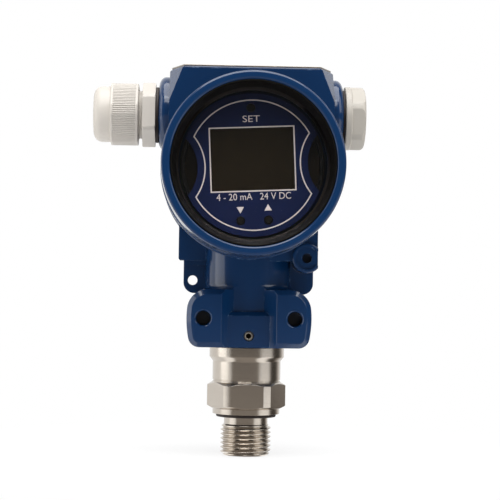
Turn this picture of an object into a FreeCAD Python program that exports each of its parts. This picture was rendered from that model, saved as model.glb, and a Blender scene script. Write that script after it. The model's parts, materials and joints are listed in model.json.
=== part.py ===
import FreeCAD, Part
import math
import os

# Field pressure transmitter with a display, millimetres.
# The process connection points down and its free end is at z = 0. The display looks along -Y.
# The cable gland is on the -X side and the blanking plug on the +X side.

V = FreeCAD.Vector

# running and seating clearances
thread_play = 0.10
seat_gap = 0.2
slip_gap = 0.15

# small break on machined and moulded edges
edge_break = 0.4

# how far joined solids reach into each other and cutters reach past a face
lap = 1.0

# process connection, a parallel half-inch pipe thread
thread_dia = 20.955
thread_chamfer = 1.0
thread_length = 13.4
relief_dia = 18.2
spigot_length = 17.2
port_dia = 6.0
process_seal_dia = 24.9
process_seal_thickness = 1.3

# sensor body above the sealing face
collar_dia = 27.9
collar_height = 2.1
hex_across_flats = 30.0
hex_turned_dia = 32.7
hex_height = 11.1
hex_chamfer = 0.8
neck_dia = 28.3
neck_height = 8.6
shoulder_dia = 31.1
shoulder_cone = 1.8
shoulder_height = 4.1
sensor_spigot_dia = 26.4
sensor_spigot_height = 15.3
sensor_seal_height = 2.6
sensor_seal_drop = 3.2
sensor_seal_section = 1.8

# pressure capsule inside the sensor body
capsule_dia = 19.0
capsule_height = 12.0
capsule_floor = 3.5
capsule_rim = 0.6
capsule_seal_section = 1.5
capsule_groove_rise = 4.5
capsule_groove_width = 2.0
diaphragm_thickness = 0.3
diaphragm_dia = 17.6
header_dia = 11.0
header_height = 1.6
header_pin_dia = 0.8
header_pin_length = 6.0
header_pin_circle = 7.0
header_pin_count = 5
capsule_ring_height = 4.0
capsule_ring_play = 0.5
capsule_slot_width = 2.0
capsule_slot_depth = 1.5

# bracket block at the foot of the housing
block_half_width = 23.6
block_bulge = 1.7
block_height = 23.5
block_front = 24.0
block_back = 12.0
block_upper_round = 8.5
block_lower_round = 4.5
block_bottom_chamfer = 2.0
channel_front_half = 11.2
channel_floor_half = 6.2
channel_floor = 17.5
panel_height = 14.5
panel_chamfer = 1.6
panel_front = 20.5
bracket_hole_spacing = 37.0
bracket_hole_dia = 6.0
bracket_hole_depth = 14.0
bracket_hole_rise = 11.8
bracket_hole_chamfer = 0.5
pad_edge_round = 0.8
set_screw_rise = 4.7
set_screw_dia = 4.0
set_screw_length = 6.0
set_screw_sink = 0.6
set_screw_socket = 2.2
set_screw_socket_depth = 2.4
set_screw_chamfer = 0.25

# neck of the housing
housing_neck_dia = 35.8
neck_height_clear = 13.2
neck_fillet = 2.5
neck_bore_dia = 19.0
neck_bore_reach = 11.5

# barrel with its two threaded mouths
barrel_dia = 72.0
barrel_half_length = 22.5
mouth_collar_swell = 0.9
mouth_collar_width = 7.0
mouth_wall = 2.0
mouth_thread_depth = 8.5
barrel_wall = 4.5
barrel_edge_round = 1.5
partition_gap = 1.3
partition_thickness = 3.0

# flat-topped shoulder over the barrel
shoulder_inset = 2.2
shoulder_cover = 5.0
shoulder_half_depth = 19.0
shoulder_drop = 1.5
shoulder_bend = 3.0
facet_width = 5.3
facet_drop = 13.5
facet_depth = 13.0

# cable entries
entry_drop = 17.7
entry_boss_dia = 29.5
entry_boss_proud = 4.4
entry_boss_root = 15.0
entry_boss_round = 3.0
entry_thread_dia = 20.0

# wings beside the neck
wing_inset = 6.9
wing_foot_gap = 1.3
wing_front = 3.0
wing_thickness = 19.0
wing_root = 8.0
wing_round = 1.0
ear_inset = 2.2
ear_sink = 1.7
ear_thickness = 5.0
ear_ledge_front = 1.5
ear_ledge_height = 2.0
ear_round = 4.5
ear_hole_dia = 4.0
ear_hole_edge = 3.8
ear_hole_lift = 3.7

# earth terminal
earth_wing_trim = 1.2
earth_boss_edge = 4.5
earth_boss_lift = 1.3
earth_boss_dia = 12.2
earth_boss_front = 18.5
earth_seat_dia = 9.4
earth_seat_depth = 1.4
earth_hole_dia = 4.0
earth_hole_depth = 9.0
earth_mouth_share = 0.62

# covers
cover_overhang = 0.4
cover_gap = 0.3
cover_spigot_length = 8.5
cover_spigot_wall = 3.0
cover_thread_chamfer = 0.8
cover_depth = 27.2
cover_bevel_length = 9.0
cover_bevel_inset = 2.9
cover_rim_wall = 3.9
cover_edge_round = 3.0
cover_foot_round = 0.6
cover_inner_round = 1.0
window_depth = 13.0
window_flange = 3.0
window_ledge = 3.0
cover_seal_width = 2.4
cover_seal_section = 1.7
rear_cover_depth = 22.2
rear_bevel_length = 8.0
rear_cover_face_width = 3.5
rear_cover_dish = 2.0
rear_cover_wall = 3.5

# window
window_thickness = 5.5
window_seal_thickness = 0.5
bezel_wall = 0.7
bezel_foot = 2.4

# display module, turned a little in its seat
display_turn = 2.8
display_gap = 1.5
plate_clearance = 2.55
plate_thickness = 0.5
notch_depth = 6.65
notch_radius = 17.0
lcd_width = 33.0
lcd_height = 24.8
lcd_rise = 2.4
lcd_margin = 1.5
lcd_thickness = 3.4
display_board_thickness = 1.6
case_depth = 10.0
case_wall = 1.6
case_floor = 1.5
case_round = 1.0
case_ledge = 2.0
button_dia = 3.3
button_proud = 0.4
button_flange_dia = 5.2
button_flange_thickness = 0.6
button_stem_dia = 2.4
button_travel = 0.5
button_rest_gap = 0.1
button_spread = 5.5
button_edge = 6.55
set_button_edge = 5.75
switch_size = 5.0
switch_height = 1.2

# electronics chamber
main_board_clearance = 2.0
main_board_thickness = 1.6
main_board_stand = 3.5
pillar_dia = 5.0
pillar_edge = 6.95
pillar_count = 3
pillar_stud_dia = 2.9
pillar_stud_length = 4.0
pillar_screw_head_dia = 4.6
pillar_screw_head = 1.0
pillar_thread_dia = 2.4
pillar_thread_length = 3.0
pillar_hole_play = 0.05
case_hole_play = 0.25
pillar_hole_depth = 4.0
pillar_stand_wall = 0.5
pillar_blind_floor = 1.2
feedthrough_dia = 9.0
feedthrough_head = 1.5
feedthrough_rim = 1.0
feedthrough_reach = 12.0
feedthrough_edge = 9.5
feedthrough_pin_count = 6
feedthrough_pin_dia = 0.8
feedthrough_pin_length = 3.0
feedthrough_pin_radius = 2.6

# terminal chamber
terminal_clearance = 3.5
terminal_depth = 10.0
terminal_cut_rise = 10.0
terminal_cut_drop = 13.0
terminal_count = 3
terminal_pitch = 12.0
terminal_pocket = 8.6
terminal_pocket_depth = 4.0
terminal_clamp_play = 0.6
terminal_clamp_thickness = 1.2
terminal_screw_dia = 5.6
terminal_screw_head = 2.2
terminal_screw_shank = 3.0
terminal_fixing_edge = 7.0
terminal_fixing_shank = 2.8
terminal_fixing_play = 0.3
terminal_fixing_sink = 3.0
fixing_hole_dia = 3.0
fixing_hole_floor = 0.8
screw_slot_width = 0.9
chamber_earth_edge = 5.5
chamber_earth_reach = 9.0
chamber_earth_dia = 6.0
chamber_earth_head = 2.4
chamber_earth_length = 1.8

# cable gland and blanking plug
gland_seal_dia = 23.2
gland_seal_thickness = 1.4
gland_hex_across_flats = 24.0
gland_hex_turned_dia = 26.8
gland_hex_length = 5.4
gland_thread_reach = 9.0
gland_bore_dia = 13.2
gland_neck_dia = 19.8
gland_neck_length = 13.0
gland_claw_slits = 8
gland_claw_slit = 0.8
gland_claw_depth = 5.0
gland_claw_taper = 2.2
fitting_thread_chamfer = 0.6
nut_gap = 1.7
nut_grip_dia = 26.3
nut_grip_across_flats = 24.6
nut_grip_length = 11.5
nut_dome_dia = 23.2
nut_dome_length = 7.1
nut_mouth_dia = 12.8
nut_lip = 1.8
nut_dome_round = 3.6
nut_thread_relief = 1.5
nut_press_face = 1.0
nut_hex_turn = 32.0
insert_dia = 12.9
insert_bore_dia = 8.0
insert_length = 14.0
insert_proud = 0.6
insert_round = 0.5
plug_seal_thickness = 1.0
plug_flange_dia = 26.4
plug_flange_thickness = 2.6
plug_hex_length = 5.8
plug_hex_turn = 12.0
plug_end_round = 1.8
plug_bore_dia = 15.0

# nameplate over the shoulder
nameplate_overhang = 0.2
nameplate_margin = 7.0
nameplate_lift = 0.05
nameplate_thickness = 0.6
nameplate_screw_edge = 3.5
nameplate_screw_dia = 2.4
nameplate_screw_play = 0.2
nameplate_screw_head_dia = 4.0
nameplate_screw_head = 1.0
nameplate_screw_length = 5.0

# diameters that follow from the barrel
mouth_collar_dia = barrel_dia + 2 * mouth_collar_swell
mouth_thread_dia = barrel_dia - 2 * mouth_wall
chamber_dia = barrel_dia - 2 * barrel_wall
cover_dia = barrel_dia + 2 * cover_overhang
cover_spigot_bore = mouth_thread_dia - 2 * cover_spigot_wall
cover_lip_dia = cover_dia - 2 * cover_bevel_inset
cover_opening_dia = cover_dia - 2 * cover_rim_wall
window_flange_dia = cover_opening_dia - 2 * window_ledge
rear_cover_dish_dia = cover_lip_dia - 2 * rear_cover_face_width
plate_dia = cover_spigot_bore - 2 * plate_clearance
main_board_dia = cover_spigot_bore - 2 * main_board_clearance
pillar_circle_dia = plate_dia - 2 * pillar_edge
terminal_dia = chamber_dia - 2 * terminal_clearance

# distances from the barrel axis
set_button_rise = plate_dia / 2 - set_button_edge
button_drop = plate_dia / 2 - button_edge
notch_reach = plate_dia / 2 - notch_depth
feedthrough_drop = chamber_dia / 2 - feedthrough_edge
chamber_earth_drop = chamber_dia / 2 - chamber_earth_edge
terminal_fixing_reach = terminal_dia / 2 - terminal_fixing_edge
shoulder_half_width = barrel_dia / 2 - shoulder_inset
shoulder_flat_half = shoulder_half_width - facet_width
entry_boss_reach = shoulder_half_width + entry_boss_proud
wing_half_width = barrel_dia / 2 - wing_inset
ear_half_width = wing_half_width - ear_inset
earth_wing_half_width = wing_half_width - earth_wing_trim
earth_boss_reach = earth_wing_half_width - earth_boss_edge
ear_hole_reach = ear_half_width - ear_hole_edge
nameplate_half_width = shoulder_half_width + nameplate_overhang
nameplate_half_depth = shoulder_half_depth - nameplate_margin
nameplate_screw_reach = shoulder_flat_half - nameplate_screw_edge

# distances from the middle of the barrel along its axis
cover_start = barrel_half_length + cover_gap
cover_spigot_end = cover_start - cover_spigot_length
cover_lip = cover_start + cover_depth
cover_bevel_start = cover_lip - cover_bevel_length
rear_cover_end = cover_start + rear_cover_depth
window_seat = cover_lip - window_depth
display_face = window_seat - display_gap
partition_front = cover_spigot_end - partition_gap
board_front = partition_front + main_board_stand + main_board_thickness
partition_back = partition_front - partition_thickness
case_back = display_face - plate_thickness - case_depth

# heights above the free end of the thread
hex_bottom = spigot_length + collar_height
hex_top = hex_bottom + hex_height
neck_top = hex_top + neck_height
sensor_top = neck_top + shoulder_cone + shoulder_height
spigot_top = sensor_top + sensor_spigot_height
housing_bottom = sensor_top + seat_gap
block_top = housing_bottom + block_height
axis_z = block_top + neck_height_clear + barrel_dia / 2
shoulder_top = axis_z + barrel_dia / 2 + shoulder_cover
entry_z = shoulder_top - entry_drop
wing_foot = axis_z - barrel_dia / 2 - wing_foot_gap
ear_foot = block_top - ear_sink
ear_hole_z = block_top + ear_hole_lift
earth_z = wing_foot + earth_boss_lift


def corner_arc(before, corner, after, radius):
    """Tangent points and middle of the arc that rounds a corner of an outline."""
    back = (before - corner).normalize()
    ahead = (after - corner).normalize()
    half = back.getAngle(ahead) / 2
    reach = radius / math.tan(half)
    middle = (back + ahead).normalize() * (radius / math.sin(half) - radius)
    return corner + back * reach, corner + middle, corner + ahead * reach


def outline(corners):
    """Closed flat wire through (u, v) corners. A third value rounds that corner."""
    points = [V(c[0], c[1], 0) for c in corners]
    radii = [c[2] if len(c) > 2 else 0 for c in corners]
    count = len(points)
    ends = []
    edges = []
    for i in range(count):
        if radii[i] > 0:
            start, middle, end = corner_arc(points[i - 1], points[i], points[(i + 1) % count], radii[i])
            edges.append(Part.Arc(start, middle, end).toShape())
            ends.append((start, end))
        else:
            ends.append((points[i], points[i]))
    for i in range(count):
        start = ends[i][1]
        end = ends[(i + 1) % count][0]
        if start.distanceToPoint(end) > 1e-6:
            edges.append(Part.makeLine(start, end))
    return Part.Wire(Part.__sortEdges__(edges))


def stand(shape, axis, start=0.0):
    """Turn a shape made along local Z so that Z lies along a named axis."""
    turns = {
        "Z": FreeCAD.Rotation(V(0, 0, 1), 0),
        "Y": FreeCAD.Rotation(V(1, 0, 0), -90),
        "X": FreeCAD.Rotation(V(0, 1, 0), 90),
    }
    shape.Placement = FreeCAD.Placement(turns[axis].multVec(V(0, 0, start)), turns[axis])
    return shape.copy()


def turned(corners, axis="Z", at=V(0, 0, 0)):
    """Solid of revolution from (radius, distance along the axis) corners."""
    wire = outline(corners)
    wire.rotate(V(0, 0, 0), V(1, 0, 0), 90)
    solid = Part.Face(wire).revolve(V(0, 0, 0), V(0, 0, 1), 360)
    solid = stand(solid, axis)
    solid.translate(at)
    return solid


def rod(dia, start, stop, axis="Z", at=V(0, 0, 0)):
    """Plain cylinder between two places on an axis."""
    solid = Part.makeCylinder(dia / 2, stop - start)
    solid = stand(solid, axis, start)
    solid.translate(at)
    return solid


def ring(outer, inner, start, stop, axis="Z", at=V(0, 0, 0)):
    """Plain tube between two places on an axis."""
    return rod(outer, start, stop, axis, at).cut(rod(inner, start - 1, stop + 1, axis, at))


def front_prism(corners, start, stop):
    """Solid with an (x, z) outline between two y values."""
    wire = outline(corners)
    wire.rotate(V(0, 0, 0), V(1, 0, 0), 90)
    wire.translate(V(0, start, 0))
    return Part.Face(wire).extrude(V(0, stop - start, 0))


def plan_prism(corners, start, stop):
    """Solid with an (x, y) outline between two z values."""
    wire = outline(corners)
    wire.translate(V(0, 0, start))
    return Part.Face(wire).extrude(V(0, 0, stop - start))


def hex_prism(across_flats, start, stop, axis="Z", at=V(0, 0, 0), turn=0.0):
    """Hexagonal prism with a corner at the given turn."""
    radius = across_flats / math.sqrt(3)
    corners = []
    for i in range(6):
        angle = math.radians(60 * i + turn)
        corners.append((radius * math.cos(angle), radius * math.sin(angle)))
    solid = Part.Face(outline(corners)).extrude(V(0, 0, stop - start))
    solid = stand(solid, axis, start)
    solid.translate(at)
    return solid


def rounded(shape, radius, picked):
    """Fillet the edges that the test picks."""
    return shape.makeFillet(radius, [edge for edge in shape.Edges if picked(edge)])


def along(edge, axis):
    """True for a straight edge that runs along an axis."""
    if not isinstance(edge.Curve, Part.Line):
        return False
    direction = edge.Curve.Direction
    return abs(direction.dot(axis)) > 0.999


def fused(shapes):
    """One clean solid from several that meet."""
    whole = shapes[0].fuse(shapes[1:])
    return whole.removeSplitter()


def o_ring(inner_dia, section, start, width, axis, at):
    """Seal ring with rounded corners."""
    inner = inner_dia / 2
    soft = min(section, width) * 0.3
    corners = [
        (inner, start, soft),
        (inner + section, start, soft),
        (inner + section, start + width, soft),
        (inner, start + width, soft),
    ]
    return turned(corners, axis, at)


def about_barrel(shape):
    """Lift a shape made about the Y axis to the barrel axis."""
    shape.translate(V(0, 0, axis_z))
    return shape


def to_display(shape):
    """Turn a display piece in its seat and lift it to the barrel axis."""
    shape.rotate(V(0, 0, 0), V(0, 1, 0), -display_turn)
    return about_barrel(shape)


def sensor_body():
    """Process spigot, collar, hexagon, neck and shoulder, turned from one bar."""
    thread_r = thread_dia / 2
    relief_r = relief_dia / 2
    port_r = port_dia / 2
    chamber_r = capsule_dia / 2 + thread_play
    floor_z = hex_top - capsule_floor
    spigot_r = sensor_spigot_dia / 2
    groove_top = spigot_top - sensor_seal_drop
    groove_bottom = groove_top - sensor_seal_height
    groove_r = spigot_r + thread_play - sensor_seal_section
    corners = [
        (port_r, 0),
        (thread_r - thread_chamfer, 0),
        (thread_r, thread_chamfer),
        (thread_r, thread_length),
        (relief_r, thread_length + thread_chamfer),
        (relief_r, spigot_length),
        (collar_dia / 2, spigot_length),
        (collar_dia / 2, hex_bottom),
        (neck_dia / 2, hex_bottom),
        (neck_dia / 2, neck_top),
        (shoulder_dia / 2, neck_top + shoulder_cone),
        (shoulder_dia / 2, sensor_top),
        (spigot_r, sensor_top),
        (spigot_r, groove_bottom),
        (groove_r, groove_bottom),
        (groove_r, groove_top),
        (spigot_r, groove_top),
        (spigot_r, spigot_top),
        (chamber_r, spigot_top),
        (chamber_r, floor_z),
        (port_r, floor_z),
    ]
    core = turned(corners)
    hexagon = hex_prism(hex_across_flats, hex_bottom, hex_top)
    crown_r = hex_turned_dia / 2
    flat_r = hex_across_flats / 2 - hex_chamfer
    crown_drop = (crown_r - flat_r) * math.tan(math.radians(30))
    crown = turned([
        (0, hex_bottom),
        (flat_r, hex_bottom),
        (crown_r, hex_bottom + crown_drop),
        (crown_r, hex_top - crown_drop),
        (flat_r, hex_top),
        (0, hex_top),
    ])
    hexagon = hexagon.common(crown)
    hexagon = hexagon.cut(rod(neck_dia - 2 * lap, hex_bottom - lap, hex_top + lap))
    return fused([core, hexagon])


def process_seal():
    """Seal ring under the collar, seated on the relief."""
    inner = relief_dia + 2 * slip_gap
    section = (process_seal_dia - inner) / 2
    start = spigot_length - process_seal_thickness
    return o_ring(inner, section, start, process_seal_thickness, "Z", V(0, 0, 0))


def sensor_seal():
    """O-ring between the sensor spigot and the housing bore."""
    outer_r = sensor_spigot_dia / 2 + thread_play - 0.04
    inner_r = sensor_spigot_dia / 2 + thread_play - sensor_seal_section
    start = spigot_top - sensor_seal_drop - sensor_seal_height
    return o_ring(2 * inner_r, outer_r - inner_r, start, sensor_seal_height, "Z", V(0, 0, 0))


def capsule_parts():
    """Pressure capsule with its diaphragm, seal, lead pins and retaining ring."""
    floor_z = hex_top - capsule_floor
    top_z = floor_z + capsule_height
    outer_r = capsule_dia / 2
    groove_r = outer_r - capsule_seal_section
    groove_bottom = floor_z + capsule_groove_rise
    groove_top = groove_bottom + capsule_groove_width
    body = turned([
        (0, floor_z + capsule_rim),
        (diaphragm_dia / 2 + slip_gap, floor_z + capsule_rim),
        (diaphragm_dia / 2 + slip_gap, floor_z),
        (outer_r, floor_z),
        (outer_r, groove_bottom),
        (groove_r, groove_bottom),
        (groove_r, groove_top),
        (outer_r, groove_top),
        (outer_r, top_z),
        (header_dia / 2, top_z),
        (header_dia / 2, top_z + header_height),
        (0, top_z + header_height),
    ])
    under = floor_z + capsule_rim
    diaphragm = rod(diaphragm_dia, under - diaphragm_thickness, under)
    seal = o_ring(2 * groove_r, capsule_seal_section + thread_play, groove_bottom, capsule_groove_width,
                  "Z", V(0, 0, 0))
    pins = []
    for i in range(header_pin_count):
        angle = math.radians(360 * i / header_pin_count)
        at = V(math.cos(angle), math.sin(angle), 0) * (header_pin_circle / 2)
        start = top_z + header_height
        pins.append(rod(header_pin_dia, start, start + header_pin_length, "Z", at))
    ring_top = top_z + capsule_ring_height
    retainer = ring(capsule_dia, header_dia + 2 * capsule_ring_play, top_z, ring_top)
    for side in (-1, 1):
        slot = Part.makeBox(outer_r, capsule_slot_width, capsule_slot_depth,
                            V(header_dia / 2, -capsule_slot_width / 2, ring_top - capsule_slot_depth))
        slot.rotate(V(0, 0, 0), V(0, 0, 1), 90 + 90 * side)
        retainer = retainer.cut(slot)
    return body, diaphragm, seal, Part.makeCompound(pins), retainer


def bracket_block():
    """Block with two pads, the channel between them, the screw panel and the neck."""
    half = block_half_width
    bottom = V(-half, 0, housing_bottom)
    side_mid = housing_bottom + block_height / 2
    left = Part.Arc(bottom, V(-half - block_bulge, 0, side_mid), V(-half, 0, block_top)).toShape()
    right = Part.Arc(V(half, 0, block_top), V(half + block_bulge, 0, side_mid),
                     V(half, 0, housing_bottom)).toShape()
    top = Part.makeLine(V(-half, 0, block_top), V(half, 0, block_top))
    foot = Part.makeLine(V(half, 0, housing_bottom), bottom)
    wire = Part.Wire([left, top, right, foot])
    wire.translate(V(0, -block_front, 0))
    block = Part.Face(wire).extrude(V(0, block_front + block_back, 0))
    block = rounded(block, block_upper_round,
                    lambda e: along(e, V(0, 1, 0)) and e.BoundBox.ZMin > side_mid)
    block = rounded(block, block_lower_round,
                    lambda e: along(e, V(0, 1, 0)) and e.BoundBox.ZMax < side_mid)
    chamfered = [e for e in block.Edges if along(e, V(1, 0, 0)) and e.BoundBox.ZMax < side_mid
                 and e.BoundBox.YMax < 0]
    block = block.makeChamfer(block_bottom_chamfer, chamfered)
    slope = (channel_front_half - channel_floor_half) / (block_front - channel_floor)
    mouth = channel_front_half + slope
    channel_plan = [
        (-mouth, -block_front - lap),
        (mouth, -block_front - lap),
        (channel_floor_half, -channel_floor),
        (-channel_floor_half, -channel_floor),
    ]
    block = block.cut(plan_prism(channel_plan, housing_bottom - lap, block_top + lap))
    pad_face = pad_edge_round / 2 - block_front
    block = rounded(block, pad_edge_round, lambda e: e.BoundBox.YMax < pad_face)
    panel_half = channel_floor_half + slope * (panel_front - channel_floor) + lap / 2
    panel = front_prism([
        (-panel_half, housing_bottom),
        (panel_half, housing_bottom),
        (panel_half, housing_bottom + panel_height),
        (-panel_half, housing_bottom + panel_height),
    ], -panel_front, lap - channel_floor)
    panel = panel.makeChamfer(panel_chamfer, [e for e in panel.Edges if along(e, V(1, 0, 0))
                                              and e.BoundBox.ZMin > side_mid
                                              and e.BoundBox.YMax < -channel_floor])
    neck = rod(housing_neck_dia, housing_bottom, axis_z)
    neck_r = housing_neck_dia / 2
    cove_end = V(neck_r, 0, block_top + neck_fillet)
    cove_start = V(neck_r + neck_fillet, 0, block_top)
    sag = neck_fillet * (1 - math.sqrt(0.5))
    cove_middle = V(neck_r + sag, 0, block_top + sag)
    inner_low = V(neck_r - lap, 0, block_top - lap / 2)
    inner_high = V(neck_r - lap, 0, block_top + neck_fillet)
    outer_low = V(neck_r + neck_fillet, 0, block_top - lap / 2)
    cove = Part.Wire([
        Part.Arc(cove_start, cove_middle, cove_end).toShape(),
        Part.makeLine(cove_end, inner_high),
        Part.makeLine(inner_high, inner_low),
        Part.makeLine(inner_low, outer_low),
        Part.makeLine(outer_low, cove_start),
    ])
    cove = Part.Face(cove).revolve(V(0, 0, 0), V(0, 0, 1), 360)
    land = Part.makeBox(2 * half, block_front + block_back, neck_fillet + 2 * lap,
                        V(-half, -block_front, block_top - lap))
    cove = cove.common(land).cut(plan_prism(channel_plan, block_top - lap, block_top + neck_fillet + lap))
    return fused([block, panel, neck, cove])


def wing(reach):
    """Web beside the neck with the ear and its ledge under it, on the left."""
    web = front_prism([
        (-reach, wing_foot, wing_round),
        (-wing_root, wing_foot),
        (-wing_root, axis_z),
        (-reach, axis_z),
    ], -wing_front, wing_thickness - wing_front)
    ledge = front_prism([
        (-ear_half_width, wing_foot - ear_ledge_height),
        (-wing_root, wing_foot - ear_ledge_height),
        (-wing_root, wing_foot + lap),
        (-ear_half_width, wing_foot + lap),
    ], -ear_ledge_front, ear_thickness)
    ear = front_prism([
        (-ear_half_width, ear_foot, ear_round),
        (-wing_root, ear_foot),
        (-wing_root, wing_foot + lap),
        (-ear_half_width, wing_foot + lap),
    ], 0, ear_thickness)
    return fused([web, ledge, ear])


def tag_wing():
    """Left wing, whose ear is pierced for a tag."""
    at = V(-ear_hole_reach, 0, ear_hole_z)
    return wing(wing_half_width).cut(rod(ear_hole_dia, -lap, ear_thickness + lap, "Y", at))


def earth_wing():
    """Right wing, turned half round, with the earth boss flush with its side."""
    at = V(-earth_boss_reach, 0, earth_z)
    boss = rod(earth_boss_dia, 0, earth_boss_front, "Y", at)
    boss = rounded(boss, pad_edge_round, lambda e: e.BoundBox.YMin > earth_boss_front / 2)
    inner = Part.makeBox(earth_wing_half_width, earth_boss_front + lap, 2 * earth_boss_dia,
                         V(-earth_wing_half_width, -lap / 2, earth_z - earth_boss_dia))
    whole = fused([wing(earth_wing_half_width), boss.common(inner)])
    seat_start = earth_boss_front - earth_seat_depth
    seat = rod(earth_seat_dia, seat_start, earth_boss_front + lap, "Y", at)
    mouth_height = earth_seat_dia * earth_mouth_share
    mouth = Part.makeBox(earth_boss_dia, earth_seat_depth + lap, mouth_height,
                         V(-earth_boss_reach - earth_boss_dia, seat_start, earth_z - mouth_height / 2))
    hole = rod(earth_hole_dia, earth_boss_front - earth_hole_depth, earth_boss_front + lap, "Y", at)
    whole = whole.cut(seat.fuse([mouth, hole]))
    whole.rotate(V(0, 0, 0), V(0, 0, 1), 180)
    return whole


def barrel_outside():
    """Barrel with a thicker collar at each threaded mouth."""
    body_r = barrel_dia / 2
    collar_r = mouth_collar_dia / 2
    mouth = barrel_half_length
    step = mouth - mouth_collar_width
    ease = collar_r - body_r
    return about_barrel(turned([
        (0, -mouth),
        (collar_r, -mouth, pad_edge_round),
        (collar_r, -step - ease, barrel_edge_round),
        (body_r, -step + ease, barrel_edge_round),
        (body_r, step - ease, barrel_edge_round),
        (collar_r, step + ease, barrel_edge_round),
        (collar_r, mouth, pad_edge_round),
        (0, mouth),
    ], "Y"))


def shoulder_box():
    """Flat-topped box over the barrel with bevelled corners."""
    half = shoulder_half_width
    edge_z = shoulder_top - shoulder_drop
    box = front_prism([
        (-half, axis_z),
        (half, axis_z),
        (half, edge_z, pad_edge_round),
        (shoulder_flat_half, shoulder_top, shoulder_bend),
        (-shoulder_flat_half, shoulder_top, shoulder_bend),
        (-half, edge_z, pad_edge_round),
    ], -shoulder_half_depth, shoulder_half_depth)
    for side_x in (-1, 1):
        for side_y in (-1, 1):
            corners = [
                V(side_x * (half - facet_width), side_y * shoulder_half_depth, shoulder_top),
                V(side_x * half, side_y * shoulder_half_depth, shoulder_top - facet_drop),
                V(side_x * half, side_y * (shoulder_half_depth - facet_depth), shoulder_top),
            ]
            middle = (corners[0] + corners[1] + corners[2]) * (1 / 3)
            spread = [middle + (corner - middle) * 2 for corner in corners]
            outward = (corners[1] - corners[0]).cross(corners[2] - corners[0]).normalize()
            if outward.z < 0:
                outward = outward * -1
            wedge = Part.Face(Part.makePolygon(spread + [spread[0]])).extrude(outward * facet_depth)
            box = box.cut(wedge)
    return box


def entry_boss(side):
    """Round boss of one cable entry."""
    radius = entry_boss_dia / 2
    boss = turned([
        (0, entry_boss_root),
        (radius, entry_boss_root),
        (radius, entry_boss_reach, entry_boss_round),
        (0, entry_boss_reach),
    ], "X")
    if side < 0:
        boss.rotate(V(0, 0, 0), V(0, 0, 1), 180)
    boss.translate(V(0, 0, entry_z))
    return boss


def housing():
    """Die-cast body of the transmitter."""
    body = fused([barrel_outside(), shoulder_box(), entry_boss(-1), entry_boss(1)])
    body = fused([body, bracket_block(), tag_wing(), earth_wing()])
    mouth = barrel_half_length
    thread_r = mouth_thread_dia / 2
    chamber_r = chamber_dia / 2
    front_cut = about_barrel(turned([
        (0, -mouth - lap),
        (thread_r, -mouth - lap),
        (thread_r, -mouth + mouth_thread_depth),
        (chamber_r, -mouth + mouth_thread_depth),
        (chamber_r, -partition_front),
        (0, -partition_front),
    ], "Y"))
    rear_cut = about_barrel(turned([
        (0, -partition_back),
        (chamber_r, -partition_back),
        (chamber_r, mouth - mouth_thread_depth),
        (thread_r, mouth - mouth_thread_depth),
        (thread_r, mouth + lap),
        (0, mouth + lap),
    ], "Y"))
    bore_dia = sensor_spigot_dia + 2 * thread_play
    sensor_bore = rod(bore_dia, housing_bottom - lap, spigot_top + seat_gap)
    neck_bore = rod(neck_bore_dia, housing_bottom, axis_z - chamber_r + neck_bore_reach)
    cuts = [rear_cut, sensor_bore, neck_bore]
    for side in (-1, 1):
        ends = sorted([side * (entry_boss_root - lap), side * (entry_boss_reach + lap)])
        cuts.append(rod(entry_thread_dia, ends[0], ends[1], "X", V(0, 0, entry_z)))
        at = V(side * bracket_hole_spacing / 2, 0, housing_bottom + bracket_hole_rise)
        cuts.append(rod(bracket_hole_dia, -block_front - lap, bracket_hole_depth - block_front, "Y", at))
        hole_r = bracket_hole_dia / 2
        mouth_r = hole_r + bracket_hole_chamfer
        cuts.append(turned([
            (0, -block_front - lap),
            (mouth_r + lap, -block_front - lap),
            (mouth_r, -block_front),
            (hole_r, -block_front + bracket_hole_chamfer),
            (0, -block_front + bracket_hole_chamfer),
        ], "Y", at))
        at = V(side * terminal_fixing_reach, 0, axis_z)
        cuts.append(rod(fixing_hole_dia, fixing_hole_floor - partition_front, lap - partition_back, "Y", at))
        at = V(side * nameplate_screw_reach, 0, 0)
        cuts.append(rod(nameplate_screw_dia, shoulder_top - nameplate_screw_length, shoulder_top + lap,
                        "Z", at))
    at = V(0, 0, housing_bottom + set_screw_rise)
    cuts.append(rod(set_screw_dia + 2 * thread_play, -panel_front - lap, lap - bore_dia / 2, "Y", at))
    at = V(feedthrough_reach, 0, axis_z - feedthrough_drop)
    cuts.append(rod(feedthrough_dia, -partition_front - lap, lap - partition_back, "Y", at))
    at = V(-chamber_earth_reach, 0, axis_z - chamber_earth_drop)
    cuts.append(rod(fixing_hole_dia, fixing_hole_floor - partition_front, lap - partition_back, "Y", at))
    body = body.cut(front_cut)
    stands = []
    stand_front = -partition_front - main_board_stand
    for place in pillar_places():
        stands.append(rod(pillar_dia + 2 * pillar_stand_wall, stand_front, -partition_front, "Y", place))
        cuts.append(rod(pillar_stud_dia + 2 * thread_play, stand_front - lap,
                        -partition_back - pillar_blind_floor, "Y", place))
    body = body.fuse(stands)
    for cut in cuts:
        body = body.cut(cut)
    return body.removeSplitter()


def pillar_places():
    """Centres of the pillars that carry the display, on the barrel axis."""
    places = []
    for i in range(pillar_count):
        angle = math.radians(90 + 360 * i / pillar_count)
        radius = pillar_circle_dia / 2
        places.append(V(radius * math.cos(angle), 0, axis_z + radius * math.sin(angle)))
    return places


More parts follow.
